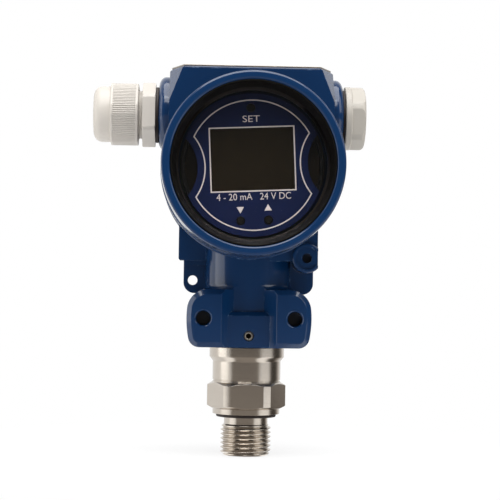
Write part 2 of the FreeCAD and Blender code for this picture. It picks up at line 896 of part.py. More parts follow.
def front_cover():
    """Round cover with a bevelled rim and a flange behind its window."""
    outer = cover_dia / 2
    start = -cover_start
    thread_r = mouth_thread_dia / 2 - thread_play
    groove_r = thread_r - cover_seal_section
    return about_barrel(turned([
        (outer, start, cover_foot_round),
        (outer, -cover_bevel_start, cover_edge_round),
        (cover_lip_dia / 2, -cover_lip, edge_break),
        (cover_opening_dia / 2, -cover_lip, edge_break),
        (cover_opening_dia / 2, -window_seat),
        (window_flange_dia / 2, -window_seat),
        (window_flange_dia / 2, -window_seat + window_flange),
        (cover_spigot_bore / 2, -window_seat + window_flange, cover_inner_round),
        (cover_spigot_bore / 2, -cover_spigot_end),
        (thread_r - cover_thread_chamfer, -cover_spigot_end),
        (thread_r, -cover_spigot_end - cover_thread_chamfer),
        (thread_r, start + cover_seal_width),
        (groove_r, start + cover_seal_width),
        (groove_r, start),
    ], "Y"))


def rear_cover():
    """Blind cover of the terminal chamber with a shallow dished face."""
    outer = cover_dia / 2
    start = cover_start
    thread_r = mouth_thread_dia / 2 - thread_play
    groove_r = thread_r - cover_seal_section
    bore_r = cover_spigot_bore / 2
    roof = rear_cover_end - rear_cover_dish - rear_cover_wall
    return about_barrel(turned([
        (0, roof),
        (bore_r, roof, cover_edge_round),
        (bore_r, cover_spigot_end),
        (thread_r - cover_thread_chamfer, cover_spigot_end),
        (thread_r, cover_spigot_end + cover_thread_chamfer),
        (thread_r, start - cover_seal_width),
        (groove_r, start - cover_seal_width),
        (groove_r, start),
        (outer, start, cover_foot_round),
        (outer, rear_cover_end - rear_bevel_length, cover_edge_round),
        (cover_lip_dia / 2, rear_cover_end, cover_inner_round),
        (rear_cover_dish_dia / 2 + rear_cover_dish / 2, rear_cover_end, cover_foot_round),
        (rear_cover_dish_dia / 2, rear_cover_end - rear_cover_dish, cover_foot_round),
        (0, rear_cover_end - rear_cover_dish),
    ], "Y"))


def cover_seal(side):
    """O-ring in the groove of a cover, side -1 at the front and 1 at the rear."""
    groove_r = mouth_thread_dia / 2 - thread_play - cover_seal_section
    section = cover_seal_section + thread_play - 0.06
    start = cover_start - cover_seal_width + 0.05
    width = cover_seal_width - 0.1
    if side < 0:
        start = -start - width
    return o_ring(2 * groove_r + 0.04, section - 0.02, start, width, "Y", V(0, 0, axis_z))


def window_glass():
    """Round pane of the front cover."""
    radius = cover_opening_dia / 2 - slip_gap
    back = -window_seat - window_seal_thickness
    return about_barrel(turned([
        (0, back),
        (radius, back, edge_break),
        (radius, back - window_thickness, edge_break),
        (0, back - window_thickness),
    ], "Y"))


def window_seal():
    """Flat gasket between the pane and the flange of the cover."""
    outer = cover_opening_dia - 2 * slip_gap
    return about_barrel(ring(outer, window_flange_dia, -window_seat - window_seal_thickness,
                             -window_seat, "Y"))


def window_bezel():
    """Black ring with a sloping wall that holds the pane from the front."""
    outer = cover_opening_dia / 2
    back = -window_seat - window_seal_thickness - window_thickness
    front = -cover_lip + 0.3
    return about_barrel(turned([
        (outer, back),
        (outer, front),
        (outer - bezel_wall, front, 0.2),
        (outer - bezel_foot, back, 0.3),
    ], "Y"))


def display_plate():
    """Face plate of the display with two side notches, the window and three button holes."""
    plate_r = plate_dia / 2
    front = -display_face
    back = front + plate_thickness
    face = rod(plate_dia, front, back, "Y")
    for side in (-1, 1):
        at = V(side * (notch_reach + notch_radius), 0, 0)
        face = face.cut(rod(2 * notch_radius, front - lap, back + lap, "Y", at))
    face = rounded(face, 0.5, lambda e: along(e, V(0, 1, 0)) and e.BoundBox.Center.x ** 2
                   + e.BoundBox.Center.z ** 2 > (plate_r - lap) ** 2 and abs(e.BoundBox.Center.z) > lap)
    window = front_prism([
        (-lcd_width / 2, lcd_rise - lcd_height / 2),
        (lcd_width / 2, lcd_rise - lcd_height / 2),
        (lcd_width / 2, lcd_rise + lcd_height / 2),
        (-lcd_width / 2, lcd_rise + lcd_height / 2),
    ], front - lap, back + lap)
    face = face.cut(window)
    for x, z in button_places():
        face = face.cut(rod(button_dia + 2 * slip_gap, front - lap, back + lap, "Y", V(x, 0, z)))
    return to_display(face)


def button_places():
    """Centres of the set, down and up buttons on the display."""
    return [(0, set_button_rise), (-button_spread, -button_drop), (button_spread, -button_drop)]


def display_case():
    """Cup that holds the display board, with a ledge for it."""
    outer_r = plate_dia / 2
    front = -display_face + plate_thickness
    back = -case_back
    board_back = front + lcd_thickness + display_board_thickness
    inner_r = outer_r - case_wall
    cup = turned([
        (0, back),
        (outer_r - case_round, back, case_round),
        (outer_r, back - 2 * case_round, case_round),
        (outer_r, front),
        (inner_r, front),
        (inner_r, board_back),
        (inner_r - case_ledge, board_back),
        (inner_r - case_ledge, back - case_floor),
        (0, back - case_floor),
    ], "Y")
    about_barrel(cup)
    for place in pillar_places():
        cup = cup.cut(rod(pillar_thread_dia + 2 * case_hole_play, back - case_floor - lap, back + lap, "Y", place))
    return cup


def lcd_panel():
    """Liquid-crystal panel behind the opening of the face plate."""
    half_w = lcd_width / 2 + lcd_margin
    half_h = lcd_height / 2 + lcd_margin
    front = -display_face + plate_thickness
    panel = front_prism([
        (-half_w, lcd_rise - half_h),
        (half_w, lcd_rise - half_h),
        (half_w, lcd_rise + half_h),
        (-half_w, lcd_rise + half_h),
    ], front, front + lcd_thickness)
    return to_display(panel)


def display_board():
    """Round board in the case, behind the panel."""
    front = -display_face + plate_thickness + lcd_thickness
    board_dia = plate_dia - 2 * case_wall - 2 * slip_gap
    return to_display(rod(board_dia, front, front + display_board_thickness, "Y"))


def key_switches():
    """Small switches on the board, one under each button."""
    board_front_y = -display_face + plate_thickness + lcd_thickness
    switches = []
    for x, z in button_places():
        half = switch_size / 2
        base = front_prism([
            (x - half, z - half, 0.4),
            (x + half, z - half, 0.4),
            (x + half, z + half, 0.4),
            (x - half, z + half, 0.4),
        ], board_front_y - switch_height, board_front_y)
        switches.append(base)
    return to_display(Part.makeCompound(switches))


def button(place):
    """Push button with a retaining flange and a stem to its switch."""
    x, z = place
    cap_r = button_dia / 2
    flange_r = button_flange_dia / 2
    stem_r = button_stem_dia / 2
    front = -display_face - button_proud
    flange_front = -display_face + plate_thickness + slip_gap
    flange_back = flange_front + button_flange_thickness
    switch_front = -display_face + plate_thickness + lcd_thickness - switch_height
    stem_end = switch_front - button_travel - button_rest_gap
    cap = turned([
        (0, front),
        (cap_r, front, edge_break),
        (cap_r, flange_front),
        (flange_r, flange_front),
        (flange_r, flange_back),
        (stem_r, flange_back),
        (stem_r, stem_end),
        (0, stem_end),
    ], "Y", V(x, 0, z))
    return to_display(cap)


def main_board():
    """Round electronics board on the cast stands of the partition."""
    back = -partition_front - main_board_stand
    board = about_barrel(rod(main_board_dia, back - main_board_thickness, back, "Y"))
    for place in pillar_places():
        board = board.cut(rod(pillar_stud_dia + 2 * seat_gap, back - main_board_thickness - lap, back + lap,
                              "Y", place))
    return board


def display_pillars():
    """Hexagon pillars from the electronics board to the display case."""
    pillars = []
    board_face = -board_front
    for place in pillar_places():
        pillar = hex_prism(pillar_dia, -case_back, board_face, "Y", place)
        stud = rod(pillar_stud_dia, board_face, board_face + main_board_thickness + pillar_stud_length,
                   "Y", place)
        hole = rod(pillar_thread_dia + 2 * pillar_hole_play, -case_back - lap, -case_back + pillar_hole_depth,
                   "Y", place)
        pillars.append(pillar.fuse(stud).cut(hole))
    return Part.makeCompound(pillars)


def case_screws():
    """Screws inside the display case that hold it to the pillars."""
    screws = []
    floor = -case_back - case_floor
    for place in pillar_places():
        end = floor + case_floor + pillar_thread_length
        screw = turned([
            (0, floor - pillar_screw_head),
            (pillar_screw_head_dia / 2, floor - pillar_screw_head, edge_break),
            (pillar_screw_head_dia / 2, floor),
            (pillar_thread_dia / 2, floor),
            (pillar_thread_dia / 2, end),
            (0, end),
        ], "Y", place)
        screws.append(screw)
    return Part.makeCompound(screws)


def feedthrough():
    """Sealed bush that takes the wires through the partition."""
    start = -partition_front
    end = -partition_back + feedthrough_rim
    at = V(feedthrough_reach, 0, axis_z - feedthrough_drop)
    head_r = feedthrough_dia / 2 + feedthrough_rim
    bush = turned([
        (0, start - feedthrough_head),
        (head_r, start - feedthrough_head, edge_break),
        (head_r, start),
        (feedthrough_dia / 2 - thread_play, start),
        (feedthrough_dia / 2 - thread_play, end),
        (0, end),
    ], "Y", at)
    return bush


def feedthrough_pins():
    """Contact pins on both sides of the feedthrough bush."""
    pins = []
    middle = V(feedthrough_reach, 0, axis_z - feedthrough_drop)
    end = -partition_back + feedthrough_rim
    for i in range(feedthrough_pin_count):
        angle = math.radians(360 * i / feedthrough_pin_count)
        at = middle + V(math.cos(angle), 0, math.sin(angle)) * feedthrough_pin_radius
        pins.append(rod(feedthrough_pin_dia, end, end + feedthrough_pin_length, "Y", at))
    return Part.makeCompound(pins)


def terminal_block():
    """Moulded block with walled pockets for the clamp screws."""
    start = -partition_back
    end = start + terminal_depth
    block = rod(terminal_dia, start, end, "Y")
    above = Part.makeBox(terminal_dia, terminal_depth + 2 * lap, terminal_dia,
                         V(-terminal_dia / 2, start - lap, terminal_cut_rise))
    below = Part.makeBox(terminal_dia, terminal_depth + 2 * lap, terminal_dia,
                         V(-terminal_dia / 2, start - lap, -terminal_dia - terminal_cut_drop))
    block = block.cut(above.fuse(below))
    for x in terminal_places():
        half = terminal_pocket / 2
        pocket = Part.makeBox(terminal_pocket, terminal_pocket_depth + lap, terminal_cut_rise + half + 2 * lap,
                              V(x - half, end - terminal_pocket_depth, -half - lap))
        block = block.cut(pocket)
    shank_hole = terminal_fixing_shank + 2 * terminal_fixing_play
    head_hole = terminal_screw_dia + 2 * terminal_fixing_play
    for side in (-1, 1):
        at = V(side * terminal_fixing_reach, 0, 0)
        block = block.cut(rod(shank_hole, start - lap, end + lap, "Y", at))
        block = block.cut(rod(head_hole, end - terminal_fixing_sink, end + lap, "Y", at))
    return about_barrel(block)


def terminal_places():
    """Centres of the terminal pockets across the block."""
    return [terminal_pitch * (i - (terminal_count - 1) / 2) for i in range(terminal_count)]


def slotted_screw(head_dia, head_height, shank_dia, shank_length, seat_y, at):
    """Cheese-head screw driven along -Y, its head on seat_y."""
    screw = turned([
        (0, seat_y - shank_length),
        (shank_dia / 2, seat_y - shank_length),
        (shank_dia / 2, seat_y),
        (head_dia / 2, seat_y),
        (head_dia / 2, seat_y + head_height, edge_break),
        (0, seat_y + head_height),
    ], "Y", at)
    slot = Part.makeBox(head_dia + 2 * lap, screw_slot_width + lap, screw_slot_width,
                        V(at.x - head_dia / 2 - lap, seat_y + head_height - screw_slot_width,
                          at.z - screw_slot_width / 2))
    return screw.cut(slot)


def terminal_screws():
    """Clamp screws in the pockets of the terminal block."""
    seat = -partition_back + terminal_depth - terminal_pocket_depth
    clamp_size = terminal_pocket - 2 * terminal_clamp_play
    screws = []
    for x in terminal_places():
        clamp = Part.makeBox(clamp_size, terminal_clamp_thickness, clamp_size,
                             V(x - clamp_size / 2, seat, axis_z - clamp_size / 2))
        screw = slotted_screw(terminal_screw_dia, terminal_screw_head, terminal_screw_shank,
                              terminal_clamp_thickness, seat + terminal_clamp_thickness, V(x, 0, axis_z))
        screws.append(clamp.fuse(screw).removeSplitter())
    return Part.makeCompound(screws)


def terminal_fixings():
    """Two screws that hold the terminal block to the partition."""
    seat = -partition_back + terminal_depth - terminal_fixing_sink
    hole_floor = fixing_hole_floor - partition_front
    screws = []
    for side in (-1, 1):
        at = V(side * terminal_fixing_reach, 0, axis_z)
        screws.append(slotted_screw(terminal_screw_dia, terminal_screw_head, terminal_fixing_shank,
                                    seat - hole_floor - fixing_hole_floor, seat, at))
    return Part.makeCompound(screws)


def chamber_earth_screw():
    """Earth screw at the bottom of the terminal chamber."""
    at = V(-chamber_earth_reach, 0, axis_z - chamber_earth_drop)
    return slotted_screw(chamber_earth_dia, chamber_earth_head, terminal_fixing_shank,
                         chamber_earth_length, -partition_back, at)


def swivel_screw():
    """Socket set screw that locks the housing on the sensor body."""
    start = -panel_front + set_screw_sink
    end = start + set_screw_length
    at = V(0, 0, housing_bottom + set_screw_rise)
    radius = set_screw_dia / 2
    screw = turned([
        (0, start),
        (radius - set_screw_chamfer, start),
        (radius, start + set_screw_chamfer),
        (radius, end - 2 * set_screw_chamfer),
        (radius - 2 * set_screw_chamfer, end),
        (0, end),
    ], "Y", at)
    return screw.cut(hex_prism(set_screw_socket, start - lap, start + set_screw_socket_depth, "Y", at))


def entry_seal(side, thickness):
    """Flat ring between an entry boss and the fitting in it."""
    inner = entry_thread_dia + 2 * slip_gap
    section = (gland_seal_dia - inner) / 2
    seal = o_ring(inner, section, entry_boss_reach, thickness, "X", V(0, 0, 0))
    if side < 0:
        seal.rotate(V(0, 0, 0), V(0, 0, 1), 180)
    seal.translate(V(0, 0, entry_z))
    return seal


def to_gland(shape):
    """Turn a gland piece made along +X to the -X entry."""
    shape.rotate(V(0, 0, 0), V(0, 0, 1), 180)
    shape.translate(V(0, 0, entry_z))
    return shape


def turned_hex(across_flats, turned_dia, start, stop, turn):
    """Hexagon with its corners turned off and its edges broken, along +X."""
    prism = hex_prism(across_flats, start, stop, "X", V(0, 0, 0), turn)
    crown = turned([
        (0, start),
        (turned_dia / 2, start, edge_break),
        (turned_dia / 2, stop, edge_break),
        (0, stop),
    ], "X")
    return prism.common(crown)


def gland_body():
    """Threaded body of the cable gland with its fingers."""
    seat = entry_boss_reach + gland_seal_thickness
    hex_end = seat + gland_hex_length
    neck_end = hex_end + gland_neck_length
    thread_r = entry_thread_dia / 2 - thread_play
    core = turned([
        (gland_bore_dia / 2, seat - gland_thread_reach),
        (thread_r - fitting_thread_chamfer, seat - gland_thread_reach),
        (thread_r, seat - gland_thread_reach + fitting_thread_chamfer),
        (thread_r, hex_end - lap),
        (gland_neck_dia / 2, hex_end - lap),
        (gland_neck_dia / 2, neck_end - gland_claw_depth),
        (gland_neck_dia / 2 - 0.6 * gland_claw_taper, neck_end - 0.8 * gland_claw_depth),
        (gland_neck_dia / 2 - gland_claw_taper, neck_end),
        (gland_bore_dia / 2, neck_end),
    ], "X")
    flange = turned_hex(gland_hex_across_flats, gland_hex_turned_dia, seat, hex_end, 0)
    flange = flange.cut(rod(gland_bore_dia, seat - lap, hex_end + lap, "X"))
    whole = core.fuse(flange)
    for i in range(gland_claw_slits):
        slit = Part.makeBox(gland_claw_depth, gland_neck_dia, gland_claw_slit,
                            V(neck_end - gland_claw_depth + gland_claw_slit, 0, -gland_claw_slit / 2))
        slit.rotate(V(0, 0, 0), V(1, 0, 0), 360 * (i + 0.5) / gland_claw_slits)
        whole = whole.cut(slit)
    return to_gland(whole.removeSplitter())


def gland_insert():
    """Rubber sleeve that closes round the cable."""
    neck_end = entry_boss_reach + gland_seal_thickness + gland_hex_length + gland_neck_length
    end = neck_end + insert_proud
    start = end - insert_length
    sleeve = turned([
        (insert_bore_dia / 2, start, insert_round),
        (insert_dia / 2, start, insert_round),
        (insert_dia / 2, end, insert_round),
        (insert_bore_dia / 2, end, 2 * insert_round),
    ], "X")
    return to_gland(sleeve)


def gland_nut():
    """Domed nut of the gland with a ribbed grip."""
    start = entry_boss_reach + gland_seal_thickness + gland_hex_length + nut_gap
    grip_end = start + nut_grip_length
    end = grip_end + nut_dome_length
    dome_r = nut_dome_dia / 2
    mouth_r = nut_mouth_dia / 2
    outside = turned([
        (0, start),
        (dome_r, start),
        (dome_r, end, nut_dome_round),
        (0, end),
    ], "X")
    grip = turned_hex(nut_grip_across_flats, nut_grip_dia, start, grip_end, nut_hex_turn)
    thread_r = gland_neck_dia / 2 + thread_play
    inside = turned([
        (0, start - lap),
        (thread_r, start - lap),
        (thread_r, grip_end - nut_thread_relief),
        (mouth_r + nut_press_face, end - nut_lip),
        (mouth_r, end - nut_lip),
        (mouth_r, end + lap),
        (0, end + lap),
    ], "X")
    return to_gland(outside.fuse(grip).removeSplitter().cut(inside))


def blanking_plug():
    """Hexagon plug that closes the second cable entry."""
    seat = entry_boss_reach + plug_seal_thickness
    flange_end = seat + plug_flange_thickness
    end = flange_end + plug_hex_length
    thread_r = entry_thread_dia / 2 - thread_play
    core = turned([
        (0, seat),
        (plug_bore_dia / 2, seat, 2 * edge_break),
        (plug_bore_dia / 2, seat - gland_thread_reach),
        (thread_r - fitting_thread_chamfer, seat - gland_thread_reach),
        (thread_r, seat - gland_thread_reach + fitting_thread_chamfer),
        (thread_r, seat),
        (plug_flange_dia / 2, seat, edge_break),
        (plug_flange_dia / 2, flange_end, edge_break),
        (0, flange_end),
    ], "X")
    prism = hex_prism(gland_hex_across_flats, flange_end - lap, end, "X", V(0, 0, 0), plug_hex_turn)
    crown_r = plug_flange_dia / 2 - slip_gap
    crown = turned([
        (0, flange_end - lap),
        (crown_r, flange_end - lap),
        (crown_r, end, plug_end_round),
        (0, end),
    ], "X")
    whole = core.fuse(prism.common(crown)).removeSplitter()
    whole.translate(V(0, 0, entry_z))
    return whole


def nameplate():
    """Thin bare plate bent over the top of the shoulder."""
    low = shoulder_top
    edge = low - shoulder_drop * (nameplate_half_width - shoulder_flat_half) / (
        shoulder_half_width - shoulder_flat_half)
    thick = nameplate_thickness
    half = nameplate_half_width
    bend = shoulder_flat_half
    plate = front_prism([
        (-half, edge + nameplate_lift),
        (-bend, low + nameplate_lift),
        (bend, low + nameplate_lift),
        (half, edge + nameplate_lift),
        (half, edge + thick),
        (bend, low + thick, shoulder_bend),
        (-bend, low + thick, shoulder_bend),
        (-half, edge + thick),
    ], -nameplate_half_depth, nameplate_half_depth)
    for reach in (-nameplate_screw_reach, nameplate_screw_reach):
        plate = plate.cut(rod(nameplate_screw_dia + 2 * nameplate_screw_play, low - lap, low + 2 * lap, "Z",
                              V(reach, 0, 0)))
    return plate


def nameplate_screws():
    """Drive screws of the nameplate."""
    seat = shoulder_top + nameplate_thickness
    shank_r = nameplate_screw_dia / 2 - nameplate_lift
    head_r = nameplate_screw_head_dia / 2
    screws = []
    for reach in (-nameplate_screw_reach, nameplate_screw_reach):
        screws.append(turned([
            (0, seat - nameplate_screw_length),
            (shank_r, seat - nameplate_screw_length, edge_break),
            (shank_r, seat),
            (head_r, seat),
            (head_r - 0.6, seat + nameplate_screw_head, edge_break),
            (0, seat + nameplate_screw_head),
        ], "Z", V(reach, 0, 0)))
    return Part.makeCompound(screws)


def export(shapes):
    """Write one STEP file for each node."""
    os.makedirs("parts", exist_ok=True)
    for name, shape in shapes.items():
        shape.exportStep("parts/" + name + ".step")


capsule, diaphragm, capsule_seal, capsule_pins, capsule_ring = capsule_parts()
set_place, down_place, up_place = button_places()

export({
    "sensor_body": sensor_body(),
    "process_seal": process_seal(),
    "sensor_seal": sensor_seal(),
    "pressure_capsule": capsule,
    "sensor_diaphragm": diaphragm,
    "capsule_seal": capsule_seal,
    "capsule_pins": capsule_pins,
    "capsule_ring": capsule_ring,
    "housing": housing(),
    "swivel_screw": swivel_screw(),
    "front_cover": front_cover(),
    "front_cover_seal": cover_seal(-1),
    "window_bezel": window_bezel(),
    "window_glass": window_glass(),
    "window_seal": window_seal(),
    "rear_cover": rear_cover(),
    "rear_cover_seal": cover_seal(1),
    "display_plate": display_plate(),
    "lcd_panel": lcd_panel(),
    "display_case": display_case(),
    "display_board": display_board(),
    "key_switches": key_switches(),
    "set_button": button(set_place),
    "down_button": button(down_place),
    "up_button": button(up_place),
    "main_board": main_board(),
    "display_pillars": display_pillars(),
    "case_screws": case_screws(),
    "feedthrough": feedthrough(),
    "feedthrough_pins": feedthrough_pins(),
    "terminal_block": terminal_block(),
    "terminal_screws": terminal_screws(),
    "terminal_fixings": terminal_fixings(),
    "chamber_earth_screw": chamber_earth_screw(),
    "gland_body": gland_body(),
    "gland_seal": entry_seal(-1, gland_seal_thickness),
    "gland_insert": gland_insert(),
    "gland_nut": gland_nut(),
    "blanking_plug": blanking_plug(),
    "plug_seal": entry_seal(1, plug_seal_thickness),
    "nameplate": nameplate(),
    "nameplate_screws": nameplate_screws(),
})
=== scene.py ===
import bpy
import bmesh
import json
import math
from mathutils import Matrix, Vector


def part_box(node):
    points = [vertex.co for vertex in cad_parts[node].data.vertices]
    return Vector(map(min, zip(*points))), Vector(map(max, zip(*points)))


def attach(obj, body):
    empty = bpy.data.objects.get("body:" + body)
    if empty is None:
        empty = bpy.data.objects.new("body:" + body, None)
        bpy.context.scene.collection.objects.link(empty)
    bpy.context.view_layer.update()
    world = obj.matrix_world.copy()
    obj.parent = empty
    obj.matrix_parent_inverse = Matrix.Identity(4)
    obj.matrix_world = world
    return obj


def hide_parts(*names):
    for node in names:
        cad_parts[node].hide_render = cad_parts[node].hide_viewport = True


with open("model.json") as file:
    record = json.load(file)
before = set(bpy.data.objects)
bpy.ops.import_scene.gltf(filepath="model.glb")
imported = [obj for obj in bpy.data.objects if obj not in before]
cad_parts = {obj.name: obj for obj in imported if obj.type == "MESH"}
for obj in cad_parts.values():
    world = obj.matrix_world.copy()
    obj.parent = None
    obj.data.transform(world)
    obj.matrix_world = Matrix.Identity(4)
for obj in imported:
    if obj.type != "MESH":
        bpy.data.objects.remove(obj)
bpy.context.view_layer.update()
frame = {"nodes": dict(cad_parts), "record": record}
cadNodes = frame["nodes"]
mm = 0.001

# an edge of a cast or moulded piece gets its bevel from this angle up
mouldedAngle = 28
planeTolerance = 1e-8
latheMerge = 0.0005 * mm
meshMerge = 0.002 * mm

# turns from the lathe's own upright axis to the way a piece lies
lies = {
    "up": Matrix.Identity(4),
    "back": Matrix.Rotation(math.radians(-90), 4, "X"),
    "left": Matrix.Rotation(math.radians(-90), 4, "Y"),
}


def middleOf(node):
    low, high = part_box(node)
    return (low + high) / 2


places = {
    "barrelAxis": Vector((0, 0, middleOf("front_cover").z)),
    "entryAxis": Vector((0, 0, middleOf("gland_nut").z)),
}


dustColour = (0.42, 0.40, 0.37)
socketShade = (0.012, 0.009, 0.007)
streakScale = 700.0
dustScale = 500.0


def newGroup(name, inputs, outputs):
    group = bpy.data.node_groups.new(name, "ShaderNodeTree")
    for label, value in inputs:
        kind = "NodeSocketVector" if label == "Vector" else "NodeSocketFloat"
        socket = group.interface.new_socket(label, in_out="INPUT", socket_type=kind)
        if value is not None:
            socket.default_value = value
    for label, kind in outputs:
        group.interface.new_socket(label, in_out="OUTPUT", socket_type=kind)
    start = group.nodes.new("NodeGroupInput")
    end = group.nodes.new("NodeGroupOutput")
    return group, start, end


def addNode(tree, kind, **settings):
    node = tree.nodes.new("ShaderNode" + kind)
    for key, value in settings.items():
        if key in node.inputs:
            node.inputs[key].default_value = value
        else:
            setattr(node, key, value)
    return node


def mathNode(tree, operation, first, second=None, third=None, clamp=False):
    node = tree.nodes.new("ShaderNodeMath")
    node.operation = operation
    node.use_clamp = clamp
    for socket, value in zip(node.inputs, (first, second, third)):
        if value is None:
            continue
        if isinstance(value, (int, float)):
            socket.default_value = value
        else:
            tree.links.new(value, socket)
    return node.outputs[0]


def noiseOn(tree, vector, scale, detail=2.0, roughness=0.5):
    node = tree.nodes.new("ShaderNodeTexNoise")
    node.inputs["Detail"].default_value = detail
    node.inputs["Roughness"].default_value = roughness
    tree.links.new(vector, node.inputs["Vector"])
    if isinstance(scale, (int, float)):
        node.inputs["Scale"].default_value = scale
    else:
        tree.links.new(scale, node.inputs["Scale"])
    return node.outputs["Fac"]


def makeSurfaceGrain():
    # orange peel of paint or the skin of a moulding, with slow handling marks
    group, start, end = newGroup("surfaceGrain", [("Vector", None), ("Scale", 900.0), ("Marks", 60.0)],
                                 [("Height", "NodeSocketFloat"), ("Mottle", "NodeSocketFloat")])
    fine = noiseOn(group, start.outputs["Vector"], start.outputs["Scale"], 3.0)
    slow = noiseOn(group, start.outputs["Vector"], start.outputs["Marks"], 4.0, 0.6)
    group.links.new(fine, end.inputs["Height"])
    group.links.new(slow, end.inputs["Mottle"])
    return group


def makeTurningMarks():
    # grooves left by a lathe, running round the local Z axis
    group, start, end = newGroup("turningMarks", [("Vector", None), ("Fineness", 4000.0)],
                                 [("Height", "NodeSocketFloat"), ("Streak", "NodeSocketFloat")])
    parts = addNode(group, "SeparateXYZ")
    group.links.new(start.outputs["Vector"], parts.inputs[0])
    radius = mathNode(group, "SQRT", mathNode(group, "ADD", mathNode(group, "POWER", parts.outputs["X"], 2.0),
                                              mathNode(group, "POWER", parts.outputs["Y"], 2.0)))
    line = addNode(group, "CombineXYZ")
    group.links.new(radius, line.inputs["X"])
    group.links.new(parts.outputs["Z"], line.inputs["Z"])
    fine = noiseOn(group, line.outputs[0], start.outputs["Fineness"], 2.0, 0.7)
    streak = noiseOn(group, line.outputs[0], streakScale, 2.0)
    group.links.new(fine, end.inputs["Height"])
    group.links.new(streak, end.inputs["Streak"])
    return group


def makeEdgeWearAndHighlight():
    # softened edges and a mask along them in noise patches: where hands and spanners rub them on most finishes, and
    # painted highlights on the blue paint's edges
    patchStart = 0.52
    patchContrast = 6.0
    edgeGain = 8.0
    group, start, end = newGroup("edgeWearAndHighlight", [("Vector", None), ("Radius", 0.0005), ("Patches", 300.0)],
                                 [("Normal", "NodeSocketVector"), ("WearAndHighlight", "NodeSocketFloat")])
    bevel = group.nodes.new("ShaderNodeBevel")
    bevel.samples = 6
    group.links.new(start.outputs["Radius"], bevel.inputs["Radius"])
    shape = group.nodes.new("ShaderNodeNewGeometry")
    dot = addNode(group, "VectorMath", operation="DOT_PRODUCT")
    group.links.new(bevel.outputs[0], dot.inputs[0])
    group.links.new(shape.outputs["Normal"], dot.inputs[1])
    edge = mathNode(group, "SUBTRACT", 1.0, dot.outputs["Value"], clamp=True)
    patch = noiseOn(group, start.outputs["Vector"], start.outputs["Patches"], 3.0, 0.7)
    patchShare = mathNode(group, "MULTIPLY", mathNode(group, "SUBTRACT", patch, patchStart), patchContrast, clamp=True)
    edgeShare = mathNode(group, "MULTIPLY", edge, edgeGain, clamp=True)
    wearAndHighlight = mathNode(group, "MULTIPLY", edgeShare, patchShare, clamp=True)
    group.links.new(bevel.outputs[0], end.inputs["Normal"])
    group.links.new(wearAndHighlight, end.inputs["WearAndHighlight"])
    return group


def makeDust():
    # light dust that settles on what faces up
    group, start, end = newGroup("settledDust", [("Vector", None), ("Amount", 0.3)],
                                 [("Dust", "NodeSocketFloat")])
    shape = group.nodes.new("ShaderNodeNewGeometry")
    parts = addNode(group, "SeparateXYZ")
    group.links.new(shape.outputs["Normal"], parts.inputs[0])
    patch = noiseOn(group, start.outputs["Vector"], dustScale, 5.0, 0.65)
    upward = mathNode(group, "POWER", mathNode(group, "MAXIMUM", parts.outputs["Z"], 0.0), 2.0)
    amount = mathNode(group, "MULTIPLY", mathNode(group, "MULTIPLY", upward, patch), start.outputs["Amount"])
    group.links.new(amount, end.inputs["Dust"])
    return group


surfaceGrain = makeSurfaceGrain()
turningMarks = makeTurningMarks()
edgeWearAndHighlight = makeEdgeWearAndHighlight()
settledDust = makeDust()


def placeGroup(tree, group, vector, **values):
    node = tree.nodes.new("ShaderNodeGroup")
    node.node_tree = group
    tree.links.new(vector, node.inputs["Vector"])
    for label, value in values.items():
        node.inputs[label].default_value = value
    return node


def blendColours(tree, factor, first, second):
    node = tree.nodes.new("ShaderNodeMix")
    node.data_type = "RGBA"
    tree.links.new(factor, node.inputs["Factor"])
    for socket, value in ((node.inputs["A"], first), (node.inputs["B"], second)):
        if isinstance(value, tuple):
            socket.default_value = (*value, 1)
        else:
            tree.links.new(value, socket)
    return node.outputs["Result"]


def rangeOf(tree, value, low, high):
    return mathNode(tree, "MULTIPLY_ADD", value, high - low, low)


